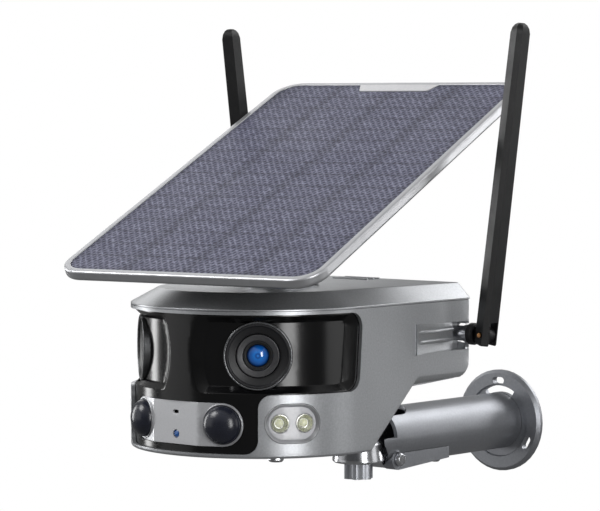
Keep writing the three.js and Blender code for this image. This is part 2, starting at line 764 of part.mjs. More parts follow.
// The panel's face in the hinge's tilted frame.
const face = { x: 1.9, y: 26.5, z: 23.3 };
const panel = group(hinge, face.x, face.y, face.z);
const frameWall = 4.2;
const tabPlan = (grow) => new THREE.Shape([
  [-30 - grow, panelLength / 2 - 2], [-25 - grow, panelLength / 2 - 13.4 - grow],
  [25 + grow, panelLength / 2 - 13.4 - grow], [30 + grow, panelLength / 2 - 2],
].map(([x, y]) => new THREE.Vector2(x, y)));

function panelFrame() {
  const inner = roundedRectangle(
    panelWidth - 2 * frameWall,
    panelLength - 2 * frameWall,
    panelCorner - frameWall,
  );
  const bevel = 0.9;
  const edge = (inset) => roundedRectangle(
    panelWidth - 2 * inset,
    panelLength - 2 * inset,
    panelCorner - inset,
  );
  const rim = loft([
    [edge(bevel), -panelThick], [edge(0), bevel - panelThick], [edge(0), -bevel], [edge(bevel), 0],
  ], 8);
  return fuse(cut(rim, prism(inner, -10, 5, 8)), prism(tabPlan(0), -2.6, 0));
}

const insertPlan = roundedRectangle(
  panelWidth - 2 * frameWall - 2 * GAP,
  panelLength - 2 * frameWall - 2 * GAP,
  panelCorner - frameWall - GAP,
);

node(panel, 'panel_frame', panelFrame(), 'aluminium');
node(panel, 'solar_laminate', cut(
  prism(insertPlan, -3.2, -0.5, 8),
  prism(tabPlan(GAP), -10, 5),
), 'cells');
node(panel, 'panel_back', prism(insertPlan, -6.3, -3.5, 8), 'matteBlack');

const junction = cut(
  box(-26, 40, -16, 26, 76, -panelThick - GAP),
  alongFront(rod(4.2, -44, -30, 16)).translate(0, 0, -11.4),
);
node(panel, 'junction_box', junction, 'matteBlack');
node(panel, 'cable_gland', alongFront(turned(
  [[0, -43.5], [3.9, -43.5], [3.9, -39.7], [4.4, -39.7], [4.4, -34], [3.2, -31], [0, -31]],
  16,
)).translate(0, 0, -11.4), 'rubber');

// Clevis under the panel: a plate with two ears that straddle the post's tongue.
const earInner = tongueWide + GAP;
const earOuter = 9.4;
const plateUnder = face.z - panelThick - GAP;

function panelClevis() {
  const base = box(-30, -22, plateUnder - 3, 30, 26, plateUnder);
  const ears = [[earInner, earOuter], [-earOuter, -earInner]].flatMap(([x0, x1]) => [
    sidePrism([[-8, 0], [8, 0], [14, plateUnder - 1], [-14, plateUnder - 1]], x0, x1),
    alongX(rod(8, x0, x1)),
  ]);
  return cut(fuse(base, ...ears), alongX(rod(3.2, -20, 20, 16)));
}

node(hinge, 'panel_clevis', panelClevis(), 'silver');
node(hinge, 'tilt_bolt', fuse(
  alongX(rod(2.8, -12, 15, 16)),
  alongX(rod(5, -13.4, -earOuter - GAP, 6)),
), 'bright');
node(hinge, 'tilt_knob', cut(
  alongX(lobedKnob(10, 1.8, earOuter + GAP, 20)),
  alongX(rod(3.2, 0, 16, 16)),
), 'matteBlack');

export default assembly;
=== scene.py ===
"""Visual model of a solar-powered security camera on a wall arm.

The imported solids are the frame. Surfaces that show are worked out here as numpy grids, profiles
and cut sheets, in millimetres in the head's own frame: X to the right, Y towards the wall and Z up
from the underside, with the centre of the half-round front as origin.
"""

import json
import logging
import math
from dataclasses import dataclass, field
from enum import Enum
from typing import Callable, Iterable, Sequence

import bmesh
import bpy
import numpy as np
from mathutils import Euler, Matrix, Vector
from mathutils.geometry import delaunay_2d_cdt


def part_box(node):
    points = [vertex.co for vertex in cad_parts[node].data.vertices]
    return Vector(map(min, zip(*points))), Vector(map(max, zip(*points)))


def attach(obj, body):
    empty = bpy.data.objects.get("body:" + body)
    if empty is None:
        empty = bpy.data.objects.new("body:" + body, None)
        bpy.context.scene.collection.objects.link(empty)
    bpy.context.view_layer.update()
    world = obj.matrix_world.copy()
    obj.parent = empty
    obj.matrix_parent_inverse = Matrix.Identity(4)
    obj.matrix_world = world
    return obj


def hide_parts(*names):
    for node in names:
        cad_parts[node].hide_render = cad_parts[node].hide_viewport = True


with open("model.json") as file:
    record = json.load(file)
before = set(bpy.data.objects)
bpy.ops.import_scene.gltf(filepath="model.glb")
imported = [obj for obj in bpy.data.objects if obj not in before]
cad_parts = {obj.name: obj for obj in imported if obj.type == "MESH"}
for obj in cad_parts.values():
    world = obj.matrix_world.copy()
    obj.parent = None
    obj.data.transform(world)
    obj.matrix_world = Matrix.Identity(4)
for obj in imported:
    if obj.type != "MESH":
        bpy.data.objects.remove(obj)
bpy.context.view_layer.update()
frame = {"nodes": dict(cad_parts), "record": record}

LOG = logging.getLogger("solar_camera")

MM = 0.001
SHARP_DEGREES = 38.0
BEVEL_DEGREES = 34.0
MERGE_METRES = 2e-6
TINY = 1e-12
CHUNK = 2000
SIDES = {"right": 1.0, "left": -1.0}

Loop = np.ndarray
Points = np.ndarray
Tree = bpy.types.NodeTree
Socket = bpy.types.NodeSocket


# ------------------------------------------------------------------ colours and nodes


def linear(hex_colour: str) -> tuple[float, float, float, float]:
    """Turns an sRGB hex colour into linear light, channel by channel, by the sRGB curve.

    Args:
        hex_colour: Colour such as "#8f9194".

    Returns:
        Linear red, green, blue and an alpha of one.
    """
    value = hex_colour.lstrip("#")
    channels = [int(value[i : i + 2], 16) / 255 for i in (0, 2, 4)]
    red, green, blue = (
        c / 12.92 if c <= 0.04045 else ((c + 0.055) / 1.055) ** 2.4 for c in channels
    )
    return (red, green, blue, 1.0)


def add_node(
    tree: Tree,
    kind: str,
    inputs: dict[str | int, object] | None = None,
    stops: Sequence[tuple[float, str | float]] = (),
    **settings: object,
) -> bpy.types.Node:
    """Adds a shader node with its settings, its socket values and its links.

    Args:
        tree: Node tree that gets the node.
        kind: Node type without the "ShaderNode" prefix.
        inputs: Socket name or index to a value, or to the output socket that feeds it.
        stops: On a colour ramp, pairs of place and colour: a hex string or a grey value.
        **settings: Properties of the node itself.

    Returns:
        The new node.
    """
    node = tree.nodes.new("ShaderNode" + kind)
    for name, value in settings.items():
        setattr(node, name, value)
    for key, value in (inputs or {}).items():
        if isinstance(value, bpy.types.NodeSocket):
            tree.links.new(value, node.inputs[key])
        else:
            node.inputs[key].default_value = value
    for index, (place, colour) in enumerate(stops):
        elements = node.color_ramp.elements
        element = elements[index] if index < 2 else elements.new(place)
        element.position = place
        element.color = linear(colour) if isinstance(colour, str) else (*[colour] * 3, 1.0)
    return node


def scale_of(size_mm: float) -> float:
    """Texture scale that gives features of a size in millimetres."""
    return 1 / (size_mm * MM)


# ------------------------------------------------------------------ finishes


@dataclass(frozen=True)
class Finish:
    """One real material, with its grain at real size.

    The fleck is a second tone mixed in by fine noise, the swing is how far the roughness wanders,
    and the grain is the relief of the surface. Metal flakes and blasted or eroded textures are
    finer than this in the real ones, and are drawn as coarse as they need to show.
    """

    name: str
    colour: str
    roughness: float
    metallic: float = 0.0
    fleck: str | None = None
    fleck_mm: float = 1.2
    swing: float = 0.06
    swing_mm: float = 24.0
    grain_mm: float = 0.8
    grain_height_mm: float = 0.0
    coat: float = 0.0
    coat_roughness: float = 0.05
    ior: float = 1.5
    specular: float = 0.5

    def base(self, tree: Tree, place: Socket) -> Socket:
        """Base colour: two close tones mixed by noise of the fleck's size.

        Args:
            tree: The material's node tree.
            place: Object coordinates.

        Returns:
            A colour socket.
        """
        noise = add_node(
            tree,
            "TexNoise",
            {"Vector": place, "Scale": scale_of(self.fleck_mm), "Detail": 3.0, "Roughness": 0.6},
        )
        return add_node(
            tree,
            "ValToRGB",
            {"Fac": noise.outputs["Fac"]},
            stops=[(0.32, self.colour), (0.68, self.fleck or self.colour)],
        ).outputs["Color"]

    def relief(self, tree: Tree, place: Socket) -> Socket:
        """Height of the surface's grain, as noise between zero and one.

        Args:
            tree: The material's node tree.
            place: Object coordinates.

        Returns:
            A value socket.
        """
        return add_node(
            tree, "TexNoise", {"Vector": place, "Scale": scale_of(self.grain_mm), "Detail": 2.0}
        ).outputs["Fac"]

    def material(self) -> bpy.types.Material:
        """Builds the node tree the first time it is asked for.

        Returns:
            The material, with its surface's own name.
        """
        known = bpy.data.materials.get(self.name)
        if known is not None:
            return known
        material = bpy.data.materials.new(self.name)
        material.use_nodes = True
        tree = material.node_tree
        tree.nodes.clear()
        place = add_node(tree, "TexCoord").outputs["Object"]
        shader = add_node(
            tree,
            "BsdfPrincipled",
            {
                "Base Color": self.base(tree, place),
                "Metallic": self.metallic,
                "Coat Weight": self.coat,
                "Coat Roughness": self.coat_roughness,
                "Specular IOR Level": self.specular,
            },
        )
        if self.metallic < 1.0:
            shader.inputs["IOR"].default_value = self.ior
        cloud = add_node(
            tree, "TexNoise", {"Vector": place, "Scale": scale_of(self.swing_mm), "Detail": 4.0}
        )
        rough = add_node(
            tree,
            "MapRange",
            {
                "Value": cloud.outputs["Fac"],
                "From Min": 0.3,
                "From Max": 0.7,
                "To Min": max(0.02, self.roughness - self.swing),
                "To Max": self.roughness + self.swing,
            },
        )
        tree.links.new(rough.outputs["Result"], shader.inputs["Roughness"])
        if self.grain_height_mm > 0:
            height = {"Height": self.relief(tree, place), "Distance": self.grain_height_mm * MM}
            bump = add_node(tree, "Bump", {"Strength": 1.0, **height})
            tree.links.new(bump.outputs["Normal"], shader.inputs["Normal"])
        add_node(tree, "OutputMaterial", {"Surface": shader.outputs["BSDF"]})
        return material


@dataclass(frozen=True)
class SolarLaminate(Finish):
    """Embossed laminate over blue-grey cells: a fine lattice, broken rows and four columns.

    The pattern lies in the tilted plane of the panel, which the origin and the turn give. The
    emboss is drawn as coarse as it needs to show.
    """

    origin: tuple[float, float, float] = (0.0, 0.0, 0.0)
    turn: tuple[float, float, float] = (0.0, 0.0, 0.0)
    lattice_mm: tuple[float, float] = (4.2, 5.6)
    speck_mm: float = 1.5
    row_mm: float = 16.0
    row_shade: float = 0.76
    column_mm: float = 43.0
    column_shade: float = 0.78
    lattice_share: float = 0.45
    speck_share: float = 0.62

    def flat(self, tree: Tree, place: Socket) -> Socket:
        """Coordinates along the panel's width, its length and its normal, in metres.

        Args:
            tree: The material's node tree.
            place: Object coordinates.

        Returns:
            A vector socket.
        """
        back = Euler(self.turn, "XYZ").to_matrix().transposed()
        moved = back @ Vector(self.origin)
        return add_node(
            tree,
            "Mapping",
            {
                "Vector": place,
                "Location": tuple(-moved),
                "Rotation": tuple(back.to_euler("XYZ")),
            },
            vector_type="POINT",
        ).outputs["Vector"]

    def lattice(self, tree: Tree, place: Socket) -> Socket:
        """Two families of slanted ridges, the higher of the two at each place.

        A ridge's height is 0.5 + 0.5 sin(2 pi (x / a + y / b)), and its twin has y turned round.

        Args:
            tree: The material's node tree.
            place: Object coordinates.

        Returns:
            A value socket.
        """
        across, along = (2 * math.pi / 10 / (size * MM) for size in self.lattice_mm)
        ridges = []
        for turn in (1.0, -1.0):
            scaled = add_node(
                tree,
                "Mapping",
                {"Vector": self.flat(tree, place), "Scale": (across, along * turn, 0.0)},
                vector_type="POINT",
            )
            wave = add_node(
                tree,
                "TexWave",
                {
                    "Vector": scaled.outputs["Vector"],
                    "Scale": 1.0,
                    "Distortion": 2.2,
                    "Detail": 1.0,
                    "Detail Scale": 1.6,
                },
                wave_type="BANDS",
                bands_direction="DIAGONAL",
            )
            ridges.append(wave.outputs["Fac"])
        both = add_node(tree, "Math", {0: ridges[0], 1: ridges[1]}, operation="MAXIMUM")
        return both.outputs[0]

    def specks(self, tree: Tree, place: Socket) -> Socket:
        """Noise stretched along the width, so that its spots are short dashes.

        Args:
            tree: The material's node tree.
            place: Object coordinates.

        Returns:
            A value socket.
        """
        stretched = add_node(
            tree,
            "Mapping",
            {"Vector": self.flat(tree, place), "Scale": (0.5, 1.0, 1.0)},
            vector_type="POINT",
        )
        return add_node(
            tree,
            "TexNoise",
            {
                "Vector": stretched.outputs["Vector"],
                "Scale": scale_of(self.speck_mm),
                "Detail": 2.0,
            },
        ).outputs["Fac"]

    def bands(self, tree: Tree, place: Socket, axis: str, size_mm: float, shade: float) -> Socket:
        """Thin darker lines across one axis.

        Args:
            tree: The material's node tree.
            place: Object coordinates.
            axis: "X" for lines along the panel, "Y" for lines across it.
            size_mm: Their spacing.
            shade: Grey level in the middle of a line.

        Returns:
            A colour socket to multiply by.
        """
        wave = add_node(
            tree,
            "TexWave",
            {
                "Vector": self.flat(tree, place),
                "Scale": math.pi / 10 / (size_mm * MM),
                "Distortion": 0.6,
                "Detail Scale": 2.0,
            },
            wave_type="BANDS",
            bands_direction=axis,
        )
        line = {"Fac": wave.outputs["Fac"]}
        return add_node(tree, "ValToRGB", line, stops=[(0.0, shade), (0.14, 1.0)]).outputs["Color"]

    def relief(self, tree: Tree, place: Socket) -> Socket:
        """The lattice stands a little proud of the sheet, roughened by the specks.

        Args:
            tree: The material's node tree.
            place: Object coordinates.

        Returns:
            A value socket: share of the lattice plus share of the specks.
        """
        half = add_node(
            tree,
            "Math",
            {0: self.lattice(tree, place), 1: self.lattice_share},
            operation="MULTIPLY",
        ).outputs[0]
        return add_node(
            tree,
            "Math",
            {0: self.specks(tree, place), 1: self.speck_share, 2: half},
            operation="MULTIPLY_ADD",
        ).outputs[0]

    def base(self, tree: Tree, place: Socket) -> Socket:
        """Colour by the relief, darkened along the rows and between the columns.

        Args:
            tree: The material's node tree.
            place: Object coordinates.

        Returns:
            A colour socket.
        """
        colour = add_node(
            tree,
            "ValToRGB",
            {"Fac": self.relief(tree, place)},
            stops=[(0.38, "#39394a"), (0.54, "#4f4f61"), (0.68, self.colour), (0.88, "#888a9c")],
        ).outputs["Color"]
        rows = ("Y", self.row_mm, self.row_shade)
        columns = ("X", self.column_mm, self.column_shade)
        for lines in (rows, columns):
            shade = self.bands(tree, place, *lines)
            mixed = add_node(tree, "Mix", {"Factor": 1.0}, data_type="RGBA", blend_type="MULTIPLY")
            # The colour sockets of this node are its seventh and eighth inputs.
            tree.links.new(colour, mixed.inputs[6])
            tree.links.new(shade, mixed.inputs[7])
            colour = mixed.outputs[2]
        return colour


@dataclass(frozen=True)
class CoatedGlass(Finish):
    """Front element of a lens: a blue coating, with painted light that brightens its middle and
    painted shade that darkens it towards its rim.
    """

    heart: str = "#2f8ff0"
    throat: str = "#0a4a9a"
    edge: str = "#0c5cb4"
    rim: str = "#04122e"

    def base(self, tree: Tree, place: Socket) -> Socket:
        """Colour by the distance from the lens axis, kept on the mesh as the value ring: painted
        light in the middle, painted shade towards the rim.

        Args:
            tree: The material's node tree.
            place: Object coordinates, which this finish doesn't need.

        Returns:
            A colour socket.
        """
        ring = add_node(tree, "Attribute", attribute_name="ring").outputs["Fac"]
        # Tones from the middle out: a painted light heart, then the blue, darkening to a painted
        # shade rim.
        tones = [self.heart, self.throat, self.colour, self.edge, self.rim]
        stops = list(zip((0.0, 0.18, 0.34, 0.74, 1.0), tones))
        return add_node(tree, "ValToRGB", {"Fac": ring}, stops=stops).outputs["Color"]


class Finishes(Enum):
    """The finishes of this object, each named for the real material, or for the painted light or
    shade that it carries.
    """

    # Two-part metallic lacquer over moulded ABS: fine sparkle, soft wide highlights.
    SILVER = Finish(
        "satin_silver_lacquer_on_abs", "#a3a5a8", 0.36, 0.72, fleck="#b2b4b7", fleck_mm=1.1,
        swing=0.03, swing_mm=30.0, grain_mm=0.9, grain_height_mm=0.012,
    )
    # The same lacquer on the sensor plate, painted lighter because its facets lie flat: painted
    # light, not a lighter lacquer.
    PLATE = Finish(
        "silver_lacquer_painted_lighter", "#bfc0c3", 0.32, 0.55, fleck="#c8c9cc", fleck_mm=0.9,
        swing=0.03, grain_height_mm=0.006,
    )
    # Powder-coated die casting: darker than the case, with a sharper sheen and slight orange peel.
    CAST = Finish(
        "satin_powder_coat_on_cast_aluminium", "#919398", 0.37, 0.82, fleck="#9a9ca1",
        fleck_mm=1.4, swing=0.04, swing_mm=20.0, grain_mm=2.6, grain_height_mm=0.006,
    )
    # Nickel-plated steel: bright, with fine rubbing marks.
    NICKEL = Finish(
        "nickel_plated_steel", "#c9cacd", 0.22, 1.0, fleck="#b9babd", fleck_mm=2.5,
        swing=0.06, swing_mm=8.0, grain_mm=0.7, grain_height_mm=0.004,
    )
    # Anodised aluminium extrusion, bead-blasted: pale and even.
    ANODISED = Finish(
        "satin_anodised_aluminium", "#c3c4c7", 0.40, 0.9, fleck="#bcbdc0", fleck_mm=6.0,
        swing=0.02, swing_mm=36.0,
    )
    # Painted infill strip on the panel's rear edge.
    PALE = Finish(
        "pale_grey_painted_aluminium", "#d2d2d4", 0.42, 0.2, fleck="#c9c9cc", fleck_mm=2.0,
        grain_height_mm=0.004,
    )
    # Polished polycarbonate: near black, sharp reflections.
    VISOR = Finish(
        "piano_black_polycarbonate", "#030304", 0.19, 0.0, fleck="#060607", fleck_mm=18.0,
        swing=0.02, swing_mm=40.0, ior=1.585, specular=0.32,
    )
    # Glass-filled nylon with a fine spark-eroded texture.
    BLACK = Finish(
        "fine_textured_black_abs", "#0e0e0f", 0.42, 0.0, fleck="#171718", fleck_mm=1.0,
        swing=0.05, swing_mm=14.0, grain_mm=0.7, grain_height_mm=0.03, specular=0.3,
    )
    # Anodised lens mount: dull black.
    LENS_BLACK = Finish(
        "matt_black_lens_mount", "#19191b", 0.42, 0.1, fleck="#202022", fleck_mm=1.5,
        swing=0.04, swing_mm=9.0, grain_height_mm=0.004,
    )
    # Turned ring round the lens mount: bright where it catches the lamps.
    LENS_RING = Finish(
        "turned_grey_lens_ring", "#77787a", 0.26, 0.8, fleck="#6a6b6d", fleck_mm=1.5, swing=0.04,
    )
    # Anodised barrel, satin: a mid grey band inside the black mount.
    LENS_GREY = Finish(
        "satin_grey_lens_barrel", "#4c4c4e", 0.34, 0.35, fleck="#434345", fleck_mm=1.4, swing=0.05,
    )
    # Coated optical glass, polished: a clear blue with a small sharp highlight, over painted light
    # in the middle and painted shade at the rim.
    GLASS = CoatedGlass("blue_coated_lens_glass", "#127ad8", 0.045, coat=1.0, swing=0.01, ior=1.52)
    # Polyethylene Fresnel dome, dyed dark.
    DOME = Finish(
        "dark_polyethylene_dome", "#161822", 0.27, 0.0, fleck="#1d202c", fleck_mm=7.0,
        swing=0.03, swing_mm=12.0, ior=1.51,
    )
    # Polycarbonate moulded against a blasted tool: milky, with a soft sheen.
    FROSTED = Finish(
        "frosted_polycarbonate", "#b9babe", 0.34, 0.0, fleck="#c4c4c8", fleck_mm=2.4,
        swing=0.05, coat=0.4, ior=1.585, grain_height_mm=0.006,
    )
    # Aluminium vapour on a moulded cup: near mirror, slightly warm.
    REFLECTOR = Finish(
        "vacuum_metallised_reflector", "#d6d7d2", 0.28, 0.8, fleck="#b9bab4", fleck_mm=1.2,
        swing=0.05, swing_mm=3.0,
    )
    # Yellow phosphor over a light-emitting chip.
    PHOSPHOR = Finish(
        "yellow_phosphor", "#dfe2ac", 0.25, 0.0, fleck="#f4f5e4", fleck_mm=1.4, swing=0.05,
        coat=0.6,
    )
    # Clear blue plastic lens over a small lamp.
    STATUS = Finish(
        "blue_status_light", "#1f5fa8", 0.12, 0.0, fleck="#123f7a", fleck_mm=1.5, coat=0.8,
        swing=0.03,
    )
    # Moulded silicone: dull and almost black.
    RUBBER = Finish(
        "matt_silicone_rubber", "#1d1d1f", 0.72, 0.0, fleck="#252527", fleck_mm=2.0, swing=0.08,
        grain_mm=0.8, grain_height_mm=0.02,
    )
    # Turned free-cutting brass of the antenna contacts.
    BRASS = Finish(
        "turned_brass", "#c59368", 0.24, 1.0, fleck="#a87848", fleck_mm=1.2, swing=0.06,
    )
    # Inside the case: lacquered board, sleeved cells, and a painted shade black for the places
    # behind openings where only shade falls.
    BOARD = Finish("green_solder_mask", "#1c5233", 0.38, 0.0, fleck="#2a6b45", fleck_mm=3.0)
    BATTERY = Finish("blue_shrink_sleeve", "#2f6db4", 0.30, 0.0, fleck="#285e9d", fleck_mm=6.0)
    DARK = Finish("painted_shade_black", "#060607", 0.6, 0.0, fleck="#0a0a0b", fleck_mm=3.0)


SLOT_FINISH = {
    "cast_bracket": Finishes.CAST,
    "bright_metal": Finishes.NICKEL,
    "silver_case": Finishes.SILVER,
    "black_visor": Finishes.VISOR,
    "lens_black": Finishes.LENS_BLACK,
    "lens_grey": Finishes.LENS_GREY,
    "lens_glass": Finishes.GLASS,
    "sensor_dome": Finishes.DOME,
    "light_window": Finishes.FROSTED,
    "led_emitter": Finishes.REFLECTOR,
    "panel_aluminium": Finishes.ANODISED,
    "black_plastic": Finishes.BLACK,
    "black_rubber": Finishes.RUBBER,
    "circuit_board": Finishes.BOARD,
    "battery_wrap": Finishes.BATTERY,
    "brass": Finishes.BRASS,
}
NODE_SLOT = {part["node"]: part["material_slot"] for part in frame["record"]["subparts"]}
NODE_BODY = {
    node: body for body, nodes in frame["record"]["behaviour"]["bodies"].items() for node in nodes
}


# ------------------------------------------------------------------ outlines


def rounded(
    corners: Sequence[tuple[float, float, float]], step: float = 1.2, closed: bool = True
) -> Loop:
    """Polyline with each corner replaced by a tangent arc, with points a step apart.

    At a corner the arc starts r / tan(half the angle) away from it on both sides, and its centre
    lies r / sin(half the angle) along the bisector.

    Args:
        corners: Corner coordinates, each with its radius.
        step: Largest distance between points on a straight stretch.
        closed: Whether the last corner joins the first.

    Returns:
        The points in order.
    """
    count = len(corners)
    pieces: list[np.ndarray] = []
    for index, (x, y, radius) in enumerate(corners):
        here = np.array([x, y])
        if radius <= 0 or (not closed and index in (0, count - 1)):
            pieces.append(here[None])
            continue
        back = np.array(corners[index - 1][:2]) - here
        on = np.array(corners[(index + 1) % count][:2]) - here
        back /= np.linalg.norm(back)
        on /= np.linalg.norm(on)
        half = math.acos(float(np.clip(back @ on, -1, 1))) / 2
        reach = radius / math.tan(half)
        bisector = (back + on) / np.linalg.norm(back + on)
        centre = here + bisector * radius / math.sin(half)
        first, last = here + back * reach - centre, here + on * reach - centre
        start = math.atan2(first[1], first[0])
        sweep = (math.atan2(last[1], last[0]) - start + math.pi) % (2 * math.pi) - math.pi
        steps = max(3, math.ceil(abs(sweep) * radius / step * 1.5))
        angle = start + sweep * np.linspace(0, 1, steps + 1)
        pieces.append(centre + radius * np.column_stack([np.cos(angle), np.sin(angle)]))
    points = np.vstack(pieces)
    return resampled(points, step, closed)


def resampled(points: Points, step: float, closed: bool) -> Loop:
    """Adds evenly spaced points on stretches longer than a step, and keeps all the others.

    A stretch of length d is split into n = ceil(d / step) parts, and its points lie at the shares
    0, 1 / n, 2 / n and so on.

    Args:
        points: Points in order.
        step: Largest distance between neighbours.
        closed: Whether the last point joins the first.

    Returns:
        The points with those added.
    """
    starts = points if closed else points[:-1]
    spans = (np.roll(points, -1, axis=0) if closed else points[1:]) - starts
    parts = np.maximum(1, np.ceil(np.linalg.norm(spans, axis=1) / step)).astype(int)
    row = np.repeat(np.arange(len(parts)), parts)
    number = np.arange(len(row)) - np.repeat(np.cumsum(parts) - parts, parts)
    out = starts[row] + spans[row] * (number / parts[row])[:, None]
    return out if closed else np.vstack([out, points[-1:]])


def stadium(length: float, width: float, x: float = 0.0, y: float = 0.0, step: float = 1.0) -> Loop:
    """Slot along the first axis: two half circles and the straight stretches between them.

    Args:
        length: Length over the round ends.
        width: Width.
        x: Middle along the first axis.
        y: Middle along the second axis.
        step: Largest distance between points.

    Returns:
        A closed loop, turned anticlockwise.
    """
    half, r = length / 2 - width / 2, width / 2
    steps = max(10, math.ceil(math.pi * r / step))
    angle = np.linspace(-math.pi / 2, math.pi / 2, steps + 1)
    arc = np.column_stack([np.cos(angle), np.sin(angle)]) * r
    loop = np.vstack([arc + [half, 0], -arc + [-half, 0]]) + [x, y]
    return resampled(loop, step, True) if half > step / 2 else loop


def circle(radius: float, x: float = 0.0, y: float = 0.0, steps: int = 48) -> Loop:
    """Circle: the middle plus the radius times the cosine and sine of even angles.

    Args:
        radius: Radius.
        x: Middle along the first axis.
        y: Middle along the second axis.
        steps: Number of points.

    Returns:
        A closed loop, turned anticlockwise.
    """
    angle = np.arange(steps) * 2 * math.pi / steps
    return np.column_stack([x + radius * np.cos(angle), y + radius * np.sin(angle)])


def returned(line: Loop) -> Loop:
    """The line with its first point again at its end."""
    return np.vstack([line, line[:1]])


def inside(points: Points, loop: Loop) -> np.ndarray:
    """Even-odd test: counts the loop's edges that a ray to the right of each point crosses.

    Args:
        points: Flat points.
        loop: Closed outline.

    Returns:
        True for each point within the outline.
    """
    x, y = points[:, 0][:, None], points[:, 1][:, None]
    x0, y0 = loop[:, 0][None], loop[:, 1][None]
    x1, y1 = np.roll(loop[:, 0], -1)[None], np.roll(loop[:, 1], -1)[None]
    spans = (y0 > y) != (y1 > y)
    rise = np.where(np.abs(y1 - y0) < TINY, TINY, y1 - y0)
    crossing = x < (x1 - x0) * (y - y0) / rise + x0
    return (spans & crossing).sum(axis=1) % 2 == 1


def distance_to(points: Points, loop: Loop, closed: bool = True) -> np.ndarray:
    """Shortest distance from each point to the loop's edges.

    The nearest place on an edge is its start plus t times the edge, with t kept from 0 to 1.

    Args:
        points: Flat points.
        loop: Outline.
        closed: Whether its last point joins its first.

    Returns:
        One distance a point.
    """
    a = loop if closed else loop[:-1]
    b = np.roll(loop, -1, axis=0) if closed else loop[1:]
    edge = b - a
    span = np.maximum((edge**2).sum(axis=1), TINY)
    best = np.full(len(points), np.inf)
    for first in range(0, len(points), CHUNK):
        p = points[first : first + CHUNK]
        t = np.clip(((p[:, None] - a) * edge).sum(axis=2) / span, 0, 1)
        gap = np.linalg.norm(p[:, None] - (a + t[..., None] * edge), axis=2)
        best[first : first + CHUNK] = gap.min(axis=1)
    return best


# ------------------------------------------------------------------ shapes


@dataclass
class Shape:
    """Points in millimetres and the faces between them."""

    points: Points
    faces: list[tuple[int, ...]]

    def moved(self, function: Callable[[Points], Points]) -> "Shape":
        """The same faces with every point sent through a function."""
        return Shape(function(self.points), self.faces)


def joined(shapes: Iterable[Shape]) -> Shape:
    """Several shapes as one.

    Args:
        shapes: Shapes, each with faces of one kind.

    Returns:
        The points after one another, and the faces with their numbers moved on to match.
    """
    points: list[Points] = []
    faces: list[tuple[int, ...]] = []
    total = 0
    for shape in shapes:
        faces += [tuple(face) for face in (np.array(shape.faces) + total).tolist()]
        points.append(shape.points)
        total += len(shape.points)
    return Shape(np.vstack(points), faces)


def grid(points: np.ndarray, wrap_rows: bool = False, wrap_columns: bool = False) -> Shape:
    """Faces between neighbouring rows and columns of an array of points.

    Args:
        points: Array of rows, columns and coordinates.
        wrap_rows: Whether the last row joins the first.
        wrap_columns: Whether the last column joins the first.

    Returns:
        The quad grid.
    """
    rows, columns = points.shape[:2]
    index = np.arange(rows * columns).reshape(rows, columns)
    if wrap_rows:
        index = np.vstack([index, index[:1]])
    if wrap_columns:
        index = np.hstack([index, index[:, :1]])
    corners = [index[:-1, :-1], index[:-1, 1:], index[1:, 1:], index[1:, :-1]]
    faces = np.stack(corners, axis=-1).reshape(-1, 4)
    return Shape(points.reshape(-1, 3), [tuple(face) for face in faces.tolist()])


def cut_sheet(
    outer: Loop,
    holes: Sequence[Loop] = (),
    creases: Sequence[Loop] = (),
    spacing: float = 3.0,
) -> tuple[Points, list[tuple[int, ...]]]:
    """Triangles that fill a flat outline, with holes, and with edges along each crease.

    A square net of points fills the outline, those within 0.6 of a step of an outline are left
    out, and a constrained Delaunay triangulation joins the rest. Triangles whose middle lies
    outside the outline or in a hole are dropped.

    Args:
        outer: Outline.
        holes: Openings.
        creases: Open polylines that edges follow.
        spacing: Step of the net in millimetres.

    Returns:
        Flat points, and triangles turned anticlockwise.
    """
    lines = [(outer, True), *((hole, True) for hole in holes), *((c, False) for c in creases)]
    low, high = outer.min(axis=0), outer.max(axis=0)
    axes = [np.arange(low[k] + spacing / 2, high[k], spacing) for k in (0, 1)]
    net = np.stack(np.meshgrid(*axes), axis=-1).reshape(-1, 2)
    net = net[inside(net, outer)]
    for loop, closed in lines:
        net = net[distance_to(net, loop, closed) > 0.6 * spacing]
    points, edges, total = [], [], 0
    for loop, closed in lines:
        count = len(loop)
        ring = np.column_stack([np.arange(count), (np.arange(count) + 1) % count]) + total
        edges += (ring if closed else ring[:-1]).tolist()
        points.append(loop)
        total += count
    flat = np.vstack([*points, net])
    vectors = [Vector(p) for p in flat.tolist()]
    found, _, faces, *_ = delaunay_2d_cdt(vectors, edges, [], 0, 1e-5)
    corner = np.array([tuple(p) for p in found])
    triangles = np.array(faces)
    middle = corner[triangles].mean(axis=1)
    keep = inside(middle, outer)
    for hole in holes:
        keep &= ~inside(middle, hole)
    return corner, [tuple(t) for t in triangles[keep].tolist()]


@dataclass(frozen=True)
class Spot:
    """A place with three axes: out of the surface, sideways and up."""

    origin: np.ndarray
    out: np.ndarray
    side: np.ndarray
    up: np.ndarray

    def place(self, points: Points) -> Points:
        """Sends points given as (sideways, up, out) to the head's frame."""
        axes = np.stack([self.side, self.up, self.out])
        return self.origin + points @ axes


def turned(
    spot: Spot, profile: Sequence[tuple[float, float]] | Loop, segments: int = 72
) -> Shape:
    """Surface of revolution: a profile of (radius, height) turned about the spot's out axis.

    Args:
        spot: Where the axis stands.
        profile: Points that start and end on the axis, or close on themselves.
        segments: Steps round the axis.

    Returns:
        The closed surface.
    """
    line = np.asarray(profile, float)
    angle = np.arange(segments) * 2 * math.pi / segments
    radius, height = line[:, 0][:, None], line[:, 1][:, None]
    ring = np.stack(
        [radius * np.cos(angle), radius * np.sin(angle), height + 0 * angle], axis=-1
    )
    return grid(ring, wrap_columns=True).moved(spot.place)


